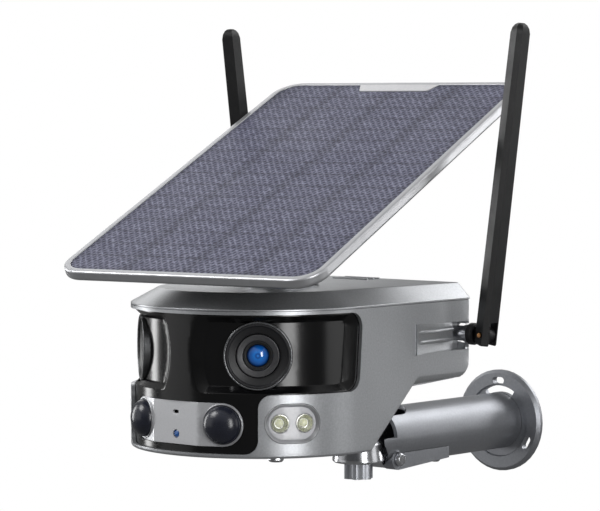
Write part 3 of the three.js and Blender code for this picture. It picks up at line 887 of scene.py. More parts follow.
def swept(path: Loop, section: Loop) -> Shape:
    """A closed section of (outwards, up) carried round a flat closed path.

    Outwards at a point is the direction from the point before to the point after, turned a
    quarter clockwise.

    Args:
        path: Flat path, turned anticlockwise.
        section: Closed section.

    Returns:
        The ring, with the section's second axis as height.
    """
    ahead = np.roll(path, -1, axis=0) - np.roll(path, 1, axis=0)
    out = np.column_stack([ahead[:, 1], -ahead[:, 0]])
    out /= np.linalg.norm(out, axis=1, keepdims=True)
    flat = path[:, None] + section[None, :, :1] * out[:, None]
    height = np.repeat(section[None, :, 1:], len(path), axis=0)
    return grid(np.concatenate([flat, height], axis=-1), wrap_rows=True, wrap_columns=True)


# ------------------------------------------------------------------ pieces


def coordinates(mesh: bpy.types.Mesh) -> Points:
    """Reads a mesh's points.

    Args:
        mesh: Mesh in metres.

    Returns:
        The points in millimetres in the head's frame.
    """
    flat = np.empty(len(mesh.vertices) * 3, np.float32)
    mesh.vertices.foreach_get("co", flat)
    return (flat.reshape(-1, 3) - HEAD) / MM


def finished(
    name: str,
    shape: Shape,
    body: str,
    finish: Finishes,
    replaces: Sequence[str] = (),
    *,
    thickness: float = 0.0,
    bevel: float = 0.0,
    outward: bool = True,
    ring: Callable[[Points], np.ndarray] | None = None,
) -> bpy.types.Object:
    """Makes one piece: mesh, wall thickness, rounded edges, material and body.

    Args:
        name: Name of the piece.
        shape: Its points in millimetres in the head's frame, and its faces.
        body: CAD body that it rides on.
        finish: Its material.
        replaces: CAD nodes that it stands for.
        thickness: Wall grown inwards from an open sheet, in millimetres.
        bevel: Width of the rounding on sharp edges, in millimetres.
        outward: Whether normals are worked out for a closed surface.
        ring: Value to keep on each point for a pattern.

    Returns:
        The finished object.
    """
    mesh = bpy.data.meshes.new(name)
    mesh.from_pydata((shape.points * MM + HEAD).tolist(), [], shape.faces)
    work = bmesh.new()
    work.from_mesh(mesh)
    bmesh.ops.remove_doubles(work, verts=work.verts, dist=MERGE_METRES)
    bmesh.ops.dissolve_degenerate(work, edges=work.edges, dist=1e-7)
    if outward:
        bmesh.ops.recalc_face_normals(work, faces=work.faces)
    work.to_mesh(mesh)
    work.free()
    item = bpy.data.objects.new(name, mesh)
    bpy.context.scene.collection.objects.link(item)
    if thickness:
        wall = item.modifiers.new("wall", "SOLIDIFY")
        wall.thickness = thickness * MM
        wall.offset = -1.0
        wall.use_even_offset = False
    if bevel:
        edge = item.modifiers.new("edge", "BEVEL")
        edge.width = bevel * MM
        edge.segments = 2
        edge.limit_method = "ANGLE"
        edge.angle_limit = math.radians(BEVEL_DEGREES)
    settle(item)
    if ring is not None:
        values = ring(coordinates(item.data)).astype(np.float32)
        item.data.attributes.new("ring", "FLOAT", "POINT").data.foreach_set("value", values)
    item.data.materials.clear()
    item.data.materials.append(finish.value.material())
    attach(item, body)
    if replaces:
        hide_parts(*replaces)
    LOG.info("%s: %d faces on %s", name, len(item.data.polygons), body)
    return item


def settle(item: bpy.types.Object) -> None:
    """Applies an object's modifiers, then shades it smooth except over sharp edges.

    Args:
        item: Object whose mesh is still its own.
    """
    if item.modifiers:
        graph = bpy.context.evaluated_depsgraph_get()
        mesh = bpy.data.meshes.new_from_object(item.evaluated_get(graph))
        item.modifiers.clear()
        item.data = mesh
    mesh = item.data
    mesh.polygons.foreach_set("use_smooth", np.ones(len(mesh.polygons), bool))
    mesh.set_sharp_from_angle(angle=math.radians(SHARP_DEGREES))
    weighted = item.modifiers.new("even_normals", "WEIGHTED_NORMAL")
    weighted.keep_sharp = True


def refined(node: str, bevel: float = 0.35, finish: Finishes | None = None) -> bpy.types.Object:
    """Stands for a CAD node with a merged copy of its mesh whose sharp edges are rounded.

    Args:
        node: CAD node.
        bevel: Width of the rounding in millimetres.
        finish: Its material, or None for its slot's usual one.

    Returns:
        The finished object.
    """
    mesh = frame["nodes"][node].data.copy()
    work = bmesh.new()
    work.from_mesh(mesh)
    bmesh.ops.remove_doubles(work, verts=work.verts, dist=MERGE_METRES)
    bmesh.ops.dissolve_limit(
        work, angle_limit=math.radians(0.8), verts=work.verts, edges=work.edges
    )
    work.to_mesh(mesh)
    work.free()
    faces = [tuple(face.vertices) for face in mesh.polygons]
    slot = NODE_SLOT[node]
    return finished(
        node + "_surface",
        Shape(coordinates(mesh), faces),
        NODE_BODY[node],
        finish or SLOT_FINISH[slot],
        [node],
        bevel=bevel,
        outward=False,
    )


def refine_all(bevels: dict[str, float]) -> None:
    """Stands for each CAD node named, with its own width of rounding."""
    for node, bevel in bevels.items():
        refined(node, bevel)


# ------------------------------------------------------------------ the head's frame

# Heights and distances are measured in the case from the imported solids' boxes.
SHELL_LOW, SHELL_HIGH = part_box("housing_shell")
RADIUS = (SHELL_HIGH.x - SHELL_LOW.x) / 2 / MM
HEAD = np.array([0.0, SHELL_LOW.y + RADIUS * MM, SHELL_LOW.z])
DEPTH = (SHELL_HIGH.y - HEAD[1]) / MM
SEAM = (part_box("top_cover")[0].z - HEAD[2]) / MM
WINDOW_AZIMUTH = 56.3
WINDOW_HEIGHT = 20.0
WINDOW_SIZE = (33.0, 23.0)


def facing(azimuth: float, distance: float, height: float) -> Spot:
    """Spot on the half-round front.

    Args:
        azimuth: Degrees from straight ahead to the right.
        distance: Distance from the upright axis.
        height: Height above the underside.

    Returns:
        The spot, whose out axis points away from the upright axis.
    """
    a = math.radians(azimuth)
    out = np.array([math.sin(a), -math.cos(a), 0.0])
    side = np.array([math.cos(a), math.sin(a), 0.0])
    return Spot(out * distance + [0, 0, height], out, side, np.array([0.0, 0.0, 1.0]))


@dataclass
class Wall:
    """The case's upright wall, unrolled: s runs round it from the front, z is height."""

    radius: float = RADIUS
    rear: float = DEPTH
    corner: float = 3.0
    roll: float = 1.6
    lip: float = 4.0
    slope_start: float = 13.0
    slope: float = 34.2 / 37.5
    belly: tuple[float, float] = (34.2, 36.6)
    knee: float = 50.5
    heel: float = 95.0
    heel_top: float = 50.0
    chamfer_x: float = 68.0
    chamfer_z: float = 30.0
    chamfer_slope: float = 10.5 / 8.9

    @property
    def quarter(self) -> float:
        """Where the straight side begins."""
        return self.radius * math.pi / 2

    @property
    def end(self) -> float:
        """Middle of the rear wall."""
        return self.quarter + self.rear + self.radius - 2 * self.corner + self.corner * math.pi / 2

    def at(self, s: np.ndarray, depth: np.ndarray | float = 0.0) -> tuple[np.ndarray, np.ndarray]:
        """Plan position of unrolled places, moved inwards by a depth.

        The outline is a circle's arc as far as the quarter turn, then a straight side, a small
        corner and the rear wall. The other side is its mirror image.

        Args:
            s: Distance round the wall, positive to the right.
            depth: Distance inwards.

        Returns:
            X and Y.
        """
        a, mirror = np.abs(s), np.where(s < 0, -1.0, 1.0)
        straight = self.rear - self.corner
        past = a - self.quarter
        bend = np.clip((past - straight) / self.corner, 0, math.pi / 2)
        across = past - straight - self.corner * math.pi / 2
        azimuth = np.clip(a / self.radius, 0, math.pi / 2)
        nx = np.where(past <= 0, np.sin(azimuth), np.cos(bend))
        ny = np.where(past <= 0, -np.cos(azimuth), np.sin(bend))
        inner = self.radius - self.corner
        x = np.select(
            [past <= 0, past <= straight, across <= 0],
            [
                self.radius * np.sin(azimuth),
                self.radius + 0 * a,
                inner + self.corner * np.cos(bend),
            ],
            inner - across,
        )
        y = np.select(
            [past <= 0, past <= straight, across <= 0],
            [-self.radius * np.cos(azimuth), past, straight + self.corner * np.sin(bend)],
            self.rear + 0 * a,
        )
        return mirror * (x - depth * nx), y - depth * ny

    def underside(self, x: np.ndarray, y: np.ndarray) -> np.ndarray:
        """Height of the underside: flat, the slope, then the belly with chamfered flanks.

        At the heel the belly turns up to the rear wall as a quarter ellipse.

        Args:
            x: Places across.
            y: Places towards the rear.

        Returns:
            Heights.
        """
        slope = self.slope * (y - self.slope_start)
        low, high = self.belly
        belly = low + (y - self.knee) * (high - low) / (self.heel - self.knee)
        turn = np.clip((y - self.heel) / (self.rear - self.heel), 0, 1)
        belly = belly + (self.heel_top - high) * (1 - np.sqrt(1 - turn**2))
        flank = self.chamfer_z + (np.abs(x) - self.chamfer_x) * self.chamfer_slope
        return np.maximum(0, np.minimum(slope, np.maximum(belly, flank)))

    def foot(self, s: np.ndarray) -> np.ndarray:
        """Height of the wall's lower edge at unrolled places."""
        return self.underside(*self.at(s))

    def wrap(self, flat: Points) -> Points:
        """Sends unrolled points to the wall, and rolls their lowest stretch inwards.

        Above the rounding a point keeps its height. The rounding is a quarter circle, and what
        lies further down runs inwards along the underside.

        Args:
            flat: Points of (distance round the wall, height).

        Returns:
            Points in the head's frame.
        """
        s, z = flat[:, 0], flat[:, 1]
        foot = self.foot(s)
        arc = self.roll * math.pi / 2
        above = z - foot - self.roll
        angle = np.clip(-above / self.roll, 0, math.pi / 2)
        level = np.maximum(-above - arc, 0)
        depth = self.roll * (1 - np.cos(angle)) + level
        x, y = self.at(s, depth)
        under = self.underside(x, y) + self.roll * (1 - np.sin(angle))
        height = np.where(above >= 0, z, under)
        return np.column_stack([x, y, height])

    def turn_to(self, azimuth: float) -> float:
        """Unrolled place of an azimuth in degrees."""
        return math.radians(azimuth) * self.radius

    def through(self, loop: Loop, azimuth: float, height: float, distance: float) -> Loop:
        """Unrolled outline of a straight-sided opening that faces an azimuth.

        A point at sideways distance t from the opening's middle lies at the azimuth plus
        arcsin(t / distance).

        Args:
            loop: Outline of (sideways, up) about the opening's middle.
            azimuth: Degrees from straight ahead.
            height: Height of the middle.
            distance: Distance from the upright axis at which the sideways sizes hold.

        Returns:
            The outline as unrolled places and heights.
        """
        s = self.turn_to(azimuth) + self.radius * np.arcsin(loop[:, 0] / distance)
        return np.column_stack([s, loop[:, 1] + height])


WALL = Wall()


@dataclass
class Band:
    """The black band across the front: its outline and its lens recesses, unrolled."""

    low: float = 36.4
    high: float = 82.0
    end: float = WALL.quarter + 5.0
    end_round: float = 9.0
    lean: float = 3.4
    centre: float = 41.0
    centre_low: float = 2.5
    inner_round: float = 8.0
    depth: float = 4.0
    recess_top: float = 81.1
    recess_low: float = 36.9
    recess_azimuth: float = 13.0
    left_extra: float = 8.6
    bulge: float = 5.4
    end_width: float = 2.3
    inner_width: float = 1.5
    net: float = 1.3

    def outline(self, grow: float = 0.0) -> Loop:
        """Outline of the black front: the band, with the centre block hanging from it.

        Args:
            grow: How far the outline is moved outwards.

        Returns:
            The closed outline, unrolled.
        """
        e, c = self.end + grow, WALL.turn_to(self.centre) + grow
        low, top, bottom = self.low - grow, self.high + min(grow, 0.3), self.centre_low - grow
        outer, inner = self.end_round + grow, self.inner_round
        corners = [
            (e, top, outer), (-e, top, outer), (self.lean - e, low, outer),
            (-c, low, inner - grow), (-c, bottom, inner + grow), (c, bottom, inner + grow),
            (c, low, inner - grow), (e - self.lean, low, outer),
        ]
        return rounded(corners, self.net)

    def recess(self, side: float, inset: float) -> Loop:
        """Outline of one lens recess.

        The inner end is an arc that bulges towards the middle of the front. The left recess
        reaches further in. The slopes at the two ends are wider than those along the top and the
        bottom.

        Args:
            side: 1 for the right recess, -1 for the left one.
            inset: How far the outline is moved in, which is also how deep it lies.

        Returns:
            The closed outline, unrolled.
        """
        top, low = self.recess_top - inset, self.recess_low + inset
        inner = WALL.turn_to(self.recess_azimuth) - (self.left_extra if side < 0 else 0.0)
        inner += inset * self.inner_width
        far = self.end - 0.6 - inset * self.end_width
        r = max(2.2, self.end_round - 0.8 - 1.5 * inset)
        corners = [(inner, low, 0), (far - self.lean, low, r), (far, top, r), (inner, top, 0)]
        right = rounded(corners, self.net, False)
        t = np.linspace(0, 1, 22)[1:-1]
        bulge = self.bulge - 0.4 * inset
        arc = np.column_stack([inner - bulge * 4 * t * (1 - t), top + (low - top) * t])
        return np.vstack([right, arc]) * [side, 1.0]

    def relief(self, flat: Points) -> np.ndarray:
        """Depth below the visor's face.

        Between a recess's outline and its floor's outline the depth grows evenly: with d0 and d1
        the distances to the two, the share is d0 / (d0 + d1). A fifth of the depth follows half a
        cosine wave of the share, which eases both edges.

        Args:
            flat: Unrolled points.

        Returns:
            One depth a point.
        """
        depth = np.zeros(len(flat))
        for side in SIDES.values():
            edge, floor = self.recess(side, 0.0), self.recess(side, self.depth)
            d0, d1 = distance_to(flat, edge), distance_to(flat, floor)
            share = np.where(inside(flat, floor), 1.0, d0 / (d0 + d1))
            share = np.where(inside(flat, edge), share, 0.0)
            ease = 0.5 - 0.5 * np.cos(np.pi * share)
            depth = np.maximum(depth, self.depth * (0.8 * share + 0.2 * ease))
        return depth


BAND = Band()


# ------------------------------------------------------------------ case


@dataclass
class Casing:
    """Silver case: wall, underside, antenna recesses and top cover."""

    wall: float = 2.2
    rim: float = SEAM - 0.3
    edge: float = 0.35
    scoop_start: float = 54.0
    scoop_step: float = 95.5
    scoop_low: float = 53.2
    scoop_high: float = 72.0
    scoop_floor: float = 70.0
    louvres: tuple[float, float] = (66.5, 60.5)
    seat: float = 66.5
    bite_low: float = 57.6
    bite_high: float = 69.4
    plate: float = 94.0
    lip_rise: float = 0.9
    plate_front: float = 59.5
    plate_half: float = 68.0
    chamfer: float = 16.4
    ribs: tuple[float, ...] = (86.0, 92.0, 98.0)
    button: tuple[float, float, float] = (-24.0, 62.0, 5.3)
    inlet: tuple[float, float, float] = (44.0, 62.0, 5.8)

    def rear_place(self, x: float) -> float:
        """Unrolled place of a point on the rear wall."""
        return math.copysign(WALL.end - abs(x), x)

    def build_wall(self) -> None:
        """Cuts the unrolled wall with its openings, wraps it and gives it a thickness."""
        s = np.linspace(-WALL.end, WALL.end, 481)
        arc = WALL.roll * (1 - math.pi / 2)
        bottom = np.column_stack([s, WALL.foot(s) + arc - WALL.lip])
        top = np.column_stack([s[::-1], np.full(len(s), self.rim)])
        ends = np.linspace(0, 1, 12)[1:-1, None]
        right = bottom[-1] + (top[0] - bottom[-1]) * ends
        left = top[-1] + (bottom[0] - top[-1]) * ends
        outer = np.vstack([bottom, right, top, left])
        holes = [BAND.outline()]
        near = WALL.quarter + self.scoop_start
        far = self.rear_place(self.seat)
        step = WALL.quarter + DEPTH - 1.8
        corners = [
            (near, self.scoop_low, 0), (step, self.scoop_low, 0), (step, self.bite_low, 2.0),
            (far, self.bite_low, 3.0), (far, self.bite_high, 3.0), (step, self.bite_high, 2.0),
            (step, self.scoop_high, 0), (near, self.scoop_high, 0),
        ]
        for side in SIDES.values():
            opening = stadium(*WINDOW_SIZE)
            holes.append(WALL.through(opening, side * WINDOW_AZIMUTH, WINDOW_HEIGHT, RADIUS))
            holes.append(rounded(corners, 1.0) * [side, 1.0])
        for x, z, r in (self.button, self.inlet):
            holes.append(circle(r, self.rear_place(x), z))
        # Edges follow the rounding at the foot at five angles of its quarter circle.
        inner = s[2:-2]
        creases = [
            np.column_stack([inner, WALL.foot(inner) + WALL.roll * (1 - turn)])
            for turn in (0.0, 0.39, 0.78, 1.18, math.pi / 2)
        ]
        flat, faces = cut_sheet(outer, holes, creases, 3.0)
        shape = Shape(WALL.wrap(flat), faces)
        finished(
            "housing_wall", shape, "camera", Finishes.SILVER,
            ["housing_shell"], thickness=self.wall, bevel=self.edge, outward=False,
        )

    def build_underside(self) -> None:
        """Underside as a grid of rows across: at each depth the row spans the case's width.

        In the half-round front a row's half width is the root of r squared less y squared. Two
        columns of each row follow the creases where the flanks are chamfered.
        """
        inset = WALL.lip - 0.2
        reach = RADIUS - inset
        turn = np.linspace(2, 90, 24)
        front = -reach * np.cos(np.radians(turn))
        stations = [0, WALL.slope_start, WALL.knee, 56, WALL.heel, WALL.rear - inset]
        counts = (5, 10, 5, 10, 5)
        back = [np.linspace(a, b, n)[1:] for a, b, n in zip(stations, stations[1:], counts)]
        y = np.concatenate([front, *back])
        half = np.where(y < 0, np.sqrt(np.maximum(reach**2 - y**2, 0)), reach)
        belly = WALL.underside(np.zeros_like(y), y)
        crease = WALL.chamfer_x + (belly - WALL.chamfer_z) / WALL.chamfer_slope
        crease = np.where(y > WALL.knee, np.minimum(crease, half - 0.5), half - 2)
        u = np.linspace(-1, 1, 40)
        x = np.column_stack([-half, crease[:, None] * u, half])
        rows = np.repeat(y[:, None], x.shape[1], axis=1)
        points = np.stack([x, rows, WALL.underside(x, rows) + 0.25], axis=-1)
        shape = grid(points[:, ::-1])
        finished(
            "housing_underside", shape, "camera", Finishes.SILVER,
            thickness=1.8, bevel=0.0, outward=False,
        )

    def build_scoop(self, name: str, side: float) -> None:
        """Antenna recess: a wedge that deepens rearwards, crossed by fine louvre ridges.

        Down the recess the section goes in along the upper ledge, down the floor and out along
        the lower ledge. The floor's depth grows evenly to the step, then drops to the seat. Each
        ridge is a bell curve of the height, exp(-(dz / width)^2), as high as the depth allows.

        Args:
            name: Side of the case.
            side: 1 for right, -1 for left.
        """
        foot, ridge_width, ridge_height, skin = 96.4, 0.42, 0.95, 0.02
        run = np.linspace(self.scoop_start, self.scoop_step, 26)
        y = np.concatenate([run, [foot, 99.0, 102.0, DEPTH - 2.3]])
        floor = np.interp(
            y,
            [self.scoop_start, self.scoop_step, foot],
            [skin, RADIUS - self.scoop_floor, RADIUS - self.seat],
        )
        mid = np.linspace(self.scoop_high, self.scoop_low, 75)
        ridge = sum(np.exp(-(((mid - height) / ridge_width) ** 2)) for height in self.louvres)
        fade = np.where(y <= self.scoop_step, np.clip((y - self.scoop_start) / 6, 0, 1), 0.0)
        louvre = fade[:, None] * ridge[None, :] * np.minimum(ridge_height, floor * 0.9)[:, None]
        ledge = 0 * y - skin
        depth = np.column_stack([ledge, floor[:, None] - louvre, ledge])
        z = np.concatenate([[self.scoop_high], mid, [self.scoop_low]])
        x = side * (RADIUS - depth)
        points = np.stack(
            [x, np.repeat(y[:, None], len(z), 1), np.repeat(z[None], len(y), 0)], axis=-1
        )
        shape = grid(points if side < 0 else points[:, ::-1])
        finished(
            f"antenna_recess_{name}", shape, "camera", Finishes.SILVER,
            thickness=0.9, outward=False,
        )

    def outline(self, radius: float, half: float, rear: float) -> Points:
        """Plan of the cover: half-round front, sides that widen rearwards, small rear corners.

        Args:
            radius: Radius of the front.
            half: Half width at the rear.
            rear: Where the rear edge lies.

        Returns:
            The closed plan, from the left end of the front.
        """
        turn = np.linspace(-90, 90, 121)
        arc = radius * np.column_stack([np.sin(np.radians(turn)), -np.cos(np.radians(turn))])
        corner = 2.0
        side = np.linspace(0, 1, 26)[1:, None]
        right = [radius, 0] + side * (np.array([half, rear - corner]) - [radius, 0])
        bend = np.linspace(0, math.pi / 2, 7)[1:]
        round_off = [half - corner, rear - corner] + corner * np.column_stack(
            [np.cos(bend), np.sin(bend)]
        )
        back = np.column_stack([np.linspace(half - corner, 0, 18)[1:], np.full(17, rear)])
        tail = np.vstack([right, round_off, back])
        return np.vstack([arc, tail, (tail * [-1, 1])[::-1][1:]])

    def build_cover(self) -> None:
        """Top cover: upright lip, chamfer and plate as one profile carried round the outline.

        Each point of the outline moves from the lip's outline to the plate's as the profile runs
        up the chamfer, and then towards the middle line of the plate.
        """
        lip = self.outline(RADIUS, RADIUS, DEPTH)
        plate = self.outline(self.plate_front, self.plate_half, DEPTH - 1.6)
        run = self.chamfer
        lip_top = SEAM + self.lip_rise
        corners = [(0, SEAM, 0), (0, lip_top, 0.5), (run, self.plate, 3.0), (24, self.plate, 0)]
        profile = rounded(corners, 0.9, False)
        share = np.clip(profile[:, 0] / run, 0, 1)[:, None, None]
        inner = np.clip((profile[:, 0] - run) / 40, 0, 1)[:, None, None]
        middle = np.column_stack([0 * plate[:, 0], np.clip(plate[:, 1], 0, 90)])
        plan = lip + (plate - lip) * share
        plan = plan + (middle - plan) * inner
        last = plan[-1]
        steps = np.linspace(0, 1, 8)[1:, None, None]
        plan = np.concatenate([plan, last + (middle - last) * steps])
        heights = np.concatenate([profile[:, 1], np.full(len(steps), self.plate)])
        z = np.repeat(heights[:, None], plan.shape[1], axis=1)
        shape = grid(np.concatenate([plan, z[..., None]], axis=-1), wrap_columns=True)
        finished(
            "top_cover_surface", shape, "camera", Finishes.SILVER,
            ["top_cover"], thickness=2.0, outward=False,
        )
        for index, y in enumerate(self.ribs):
            back = y + 1.8
            line = rounded([(-16, y, 0.8), (12, y, 0.8), (12, back, 0.8), (-16, back, 0.8)], 0.5)
            self.build_rib(f"cover_rib_{index + 1}", line)

    def build_rib(self, name: str, line: Loop) -> None:
        """Low rib: an outline that shrinks towards its middle over a quarter-round edge.

        Args:
            name: Name of the rib.
            line: Its outline in plan.
        """
        centre = line.mean(axis=0)
        turn = np.radians([0, 25, 50, 75, 90])
        shrink = np.concatenate([[0, 0], 0.55 * (1 - np.cos(turn))])
        height = np.concatenate([[-0.6, 0.2], 0.3 + 0.6 * np.sin(turn)]) + self.plate
        gap = line - centre
        reach = np.linalg.norm(gap, axis=1, keepdims=True)
        rings = [centre + gap * (1 - k / np.maximum(reach, 1)) for k in shrink]
        rings.append(np.repeat(centre[None], len(line), 0))
        z = np.concatenate([height, height[-1:]])
        points = np.stack([np.column_stack([r, np.full(len(r), h)]) for r, h in zip(rings, z)])
        finished(
            name, grid(points, wrap_columns=True), "camera", Finishes.SILVER,
        )

    def build(self) -> None:
        """Builds every piece of the case."""
        self.build_wall()
        self.build_underside()
        for name, side in SIDES.items():
            self.build_scoop(name, side)
        self.build_cover()
        screws = {f"case_screw_{number}": 0.3 for number in (1, 2, 3, 4)}
        refine_all(
            {"pedestal": 0.5, **screws, "power_button": 0.3, "power_inlet": 0.2, "port_cover": 0.5}
        )


# ------------------------------------------------------------------ front


@dataclass
class Front:
    """Visor, sensor plate, lenses, motion-sensor domes and lights."""

    visor_radius: float = 73.4
    wall: float = 2.4
    lens_azimuth: float = 40.9
    lens_height: float = 58.3
    lens_face: float = 70.6
    bezel: float = 19.75
    sensor_azimuth: float = 24.65
    sensor_height: float = 19.0
    plate_distance: float = 72.85
    fold: float = 17.3
    dome_along: float = 31.69
    sensor_hole: float = 11.75
    microphone_height: float = 25.2
    status_height: float = 12.3
    status_distance: float = 71.35
    dome_radius: float = 11.0
    dome_height: float = 8.0
    glass_radius: float = 6.35
    glass_crown: float = 2.5
    window_sink: float = 1.35
    window_pane: tuple[float, float] = (28.8, 18.8)
    led_spacing: float = 7.5
    led_well: float = 5.5

    def plate_wrap(self, flat: Points, inset: float = 0.0) -> Points:
        """Sends points along the three facets of the sensor plate to the head's frame.

        Between the folds the plate is flat and faces straight ahead. Past a fold it turns by the
        sensor's azimuth.

        Args:
            flat: Points of (distance along the plate, height).
            inset: How far behind the plate's face they lie.

        Returns:
            Points in the head's frame.
        """
        turn = math.radians(self.sensor_azimuth)
        a, z = flat[:, 0], flat[:, 1]
        past = np.maximum(np.abs(a) - self.fold, 0)
        face_y = -(self.plate_distance - self.fold * math.sin(turn)) / math.cos(turn)
        x = np.minimum(np.abs(a), self.fold) + past * math.cos(turn)
        y = face_y + past * math.sin(turn)
        lean = np.where(past > 0, turn, 0.0)
        x, y = x - inset * np.sin(lean), y + inset * np.cos(lean)
        return np.column_stack([np.sign(a) * x, y, z])

    def pill(self, grow: float = 0.0) -> Loop:
        """Outline of the sensor plate along its facets, moved outwards by an amount."""
        length = 2 * (self.dome_along + 12.5 + grow)
        return stadium(length, 25 + 2 * grow, 0, self.sensor_height)

    def build_visor(self) -> None:
        """Cuts the unrolled black front, sinks the lens recesses and wraps it.

        The recesses come from the band's own relief.
        """
        holes, creases = [], []
        opening = circle(self.bezel + 0.25, steps=72)
        floor = self.visor_radius - BAND.depth
        for side in SIDES.values():
            holes.append(WALL.through(opening, side * self.lens_azimuth, self.lens_height, floor))
            for inset in (0.0, 0.4, BAND.depth - 0.4, BAND.depth):
                creases.append(returned(BAND.recess(side, inset)))
        plate = self.plate_wrap(self.pill(0.25))
        azimuth = np.arctan2(plate[:, 0], -plate[:, 1])
        holes.append(np.column_stack([azimuth * RADIUS, plate[:, 2]]))
        flat, faces = cut_sheet(BAND.outline(1.6), holes, creases, 2.6)
        depth = BAND.relief(flat)
        x, y = WALL.at(flat[:, 0], RADIUS - self.visor_radius + depth)
        shape = Shape(np.column_stack([x, y, flat[:, 1]]), faces)
        finished(
            "visor_surface", shape, "camera", Finishes.VISOR, ["visor"],
            thickness=self.wall, bevel=0.3, outward=False,
        )

    def build_plate(self) -> None:
        """Sensor plate: folded sheet with two sensor holes, a microphone slot and a light hole."""
        middle = self.sensor_height
        holes = [circle(self.sensor_hole, s * self.dome_along, middle, 64) for s in (-1, 1)]
        holes.append(stadium(4.4, 2.0, 0.0, self.microphone_height, 0.4))
        holes.append(circle(2.45, 0.0, self.status_height, 32))
        fold = np.linspace(middle - 12.49, middle + 12.49, 20)
        creases = [np.column_stack([np.full(20, s * self.fold), fold]) for s in (-1, 1)]
        flat, faces = cut_sheet(self.pill(), holes, creases, 2.4)
        shape = Shape(self.plate_wrap(flat), faces)
        # The plate's lacquer is painted lighter than the case's: painted light for its flat facets.
        finished(
            "sensor_plate_surface", shape, "camera", Finishes.PLATE,
            ["sensor_plate"], thickness=1.3, bevel=0.28, outward=False,
        )
        # A dark sheet behind the plate is painted shade, seen through its openings and the gap
        # round it.
        lid, lid_faces = cut_sheet(self.pill(-0.6), spacing=4.0)
        behind = Shape(self.plate_wrap(lid, 2.2), lid_faces)
        finished(
            "sensor_shade_sheet", behind, "camera", Finishes.DARK, thickness=0.8,
            outward=False,
        )
        light = facing(0.0, self.status_distance, self.status_height)
        profile = [(0, -3), (2.2, -3), (2.2, 0), (1.9, 0.35), (1.2, 0.62), (0, 0.72)]
        finished(
            "status_light", turned(light, profile, 32), "camera", Finishes.STATUS,
            ["status_led"],
        )

    def build_lens(self, name: str, side: float) -> None:
        """One lens: bright rim, dark funnel, grey ring, a throat in painted shade black, and blue
        glass with painted light and shade.

        All five are turned about the lens axis. The glass is a paraboloid, crown x (1 - (r / R)^2)
        over its foot.

        Args:
            name: Side of the case.
            side: 1 for right, -1 for left.
        """
        spot = facing(side * self.lens_azimuth, self.lens_face, self.lens_height)
        b = self.bezel
        rim = [(b - 1.15, -9, 0.2), (b, -9, 0.2), (b, 0.1, 0.55), (b - 1.15, 0.1, 0.45)]
        funnel = [
            (b - 1.2, -8.6, 0.2), (b - 1.2, -0.35, 0.35), (b - 2.3, -0.35, 0.3),
            (b - 2.9, -1.25, 0.4), (12.7, -3.1, 0.3), (12.7, -8.6, 0.2),
        ]
        barrel = [(12.3, -8.6, 0.2), (12.3, -2.0, 0.4), (8.75, -2.55, 0.35), (8.75, -8.6, 0.2)]
        throat = [
            (8.6, -9, 0.2), (8.6, -3.3, 0.3), (7.7, -3.3, 0.2), (7.5, -4.0, 0.2),
            (6.75, -4.1, 0.2), (6.5, -5.3, 0.2), (5.2, -5.6, 0.1), (5.2, -9, 0.1),
        ]
        pieces = [
            ("lens_rim_{}", rim, 0.35, 96, "lens_black", Finishes.LENS_RING, []),
            ("lens_bezel_{}_surface", funnel, 0.6, 96, "lens_black", Finishes.LENS_BLACK,
             [f"lens_bezel_{name}"]),
            ("lens_barrel_{}_surface", barrel, 0.5, 80, "lens_grey", Finishes.LENS_GREY,
             [f"lens_barrel_{name}"]),
            # The throat takes the painted shade black: painted shade deep in the lens.
            ("lens_throat_{}", throat, 0.4, 72, "lens_black", Finishes.DARK, []),
        ]
        for title, corners, step, segments, slot, finish, nodes in pieces:
            shape = turned(spot, returned(rounded(corners, step)), segments)
            finished(title.format(name), shape, "camera", finish, nodes)
        radius, foot = self.glass_radius, -5.0
        r = np.linspace(0, radius, 22)
        crown = np.column_stack([r, foot + self.glass_crown * (1 - (r / radius) ** 2)])
        glass = np.vstack([[0, -7.5], [radius, -7.5], crown[::-1]])
        # The ring value sets the glass's painted light in its middle and painted shade at its rim.
        finished(
            f"lens_glass_{name}_surface", turned(spot, glass, 64), "camera",
            Finishes.GLASS, [f"lens_glass_{name}"],
            ring=lambda p: np.linalg.norm(np.cross(p - spot.origin, spot.out), axis=1) / radius,
        )

    def build_dome(self, name: str, side: float) -> None:
        """Motion-sensor dome: a flattened half-ball, with a thin bright ring at its foot.

        The dome's section is a quarter ellipse, turned about the sensor's axis.

        Args:
            name: Side of the case.
            side: 1 for right, -1 for left.
        """
        spot = facing(side * self.sensor_azimuth, self.plate_distance, self.sensor_height)
        turn = np.radians(np.linspace(0, 90, 26))
        radius = self.dome_radius
        dome = np.column_stack([radius * np.cos(turn), self.dome_height * np.sin(turn)])
        profile = np.vstack([[0, -3], [radius, -3], dome])
        finished(
            f"pir_dome_{name}_surface", turned(spot, profile, 80), "camera",
            Finishes.DOME, [f"pir_dome_{name}"],
        )
        corners = [(11.1, -0.8, 0.2), (12.25, -0.8, 0.2), (12.1, 0.45, 0.3), (11.15, 0.45, 0.3)]
        ring = turned(spot, returned(rounded(corners, 0.25)), 80)
        finished(f"pir_ring_{name}", ring, "camera", Finishes.ANODISED)

    def build_light(self, name: str, side: float) -> None:
        """Light window: bevelled silver rim, frosted window and two metallised reflectors.

        Args:
            name: Side of the case.
            side: 1 for right, -1 for left.
        """
        azimuth = side * WINDOW_AZIMUTH

        def wrap(points: Points) -> Points:
            """Lays points on the wall, round the window's azimuth.

            Args:
                points: Points of (sideways, up, out) about the window's middle.

            Returns:
                Points in the head's frame.
            """
            turn = math.radians(azimuth) + np.arcsin(points[:, 0] / RADIUS)
            reach, height = RADIUS + points[:, 2], points[:, 1] + WINDOW_HEIGHT
            return np.column_stack([reach * np.sin(turn), -reach * np.cos(turn), height])

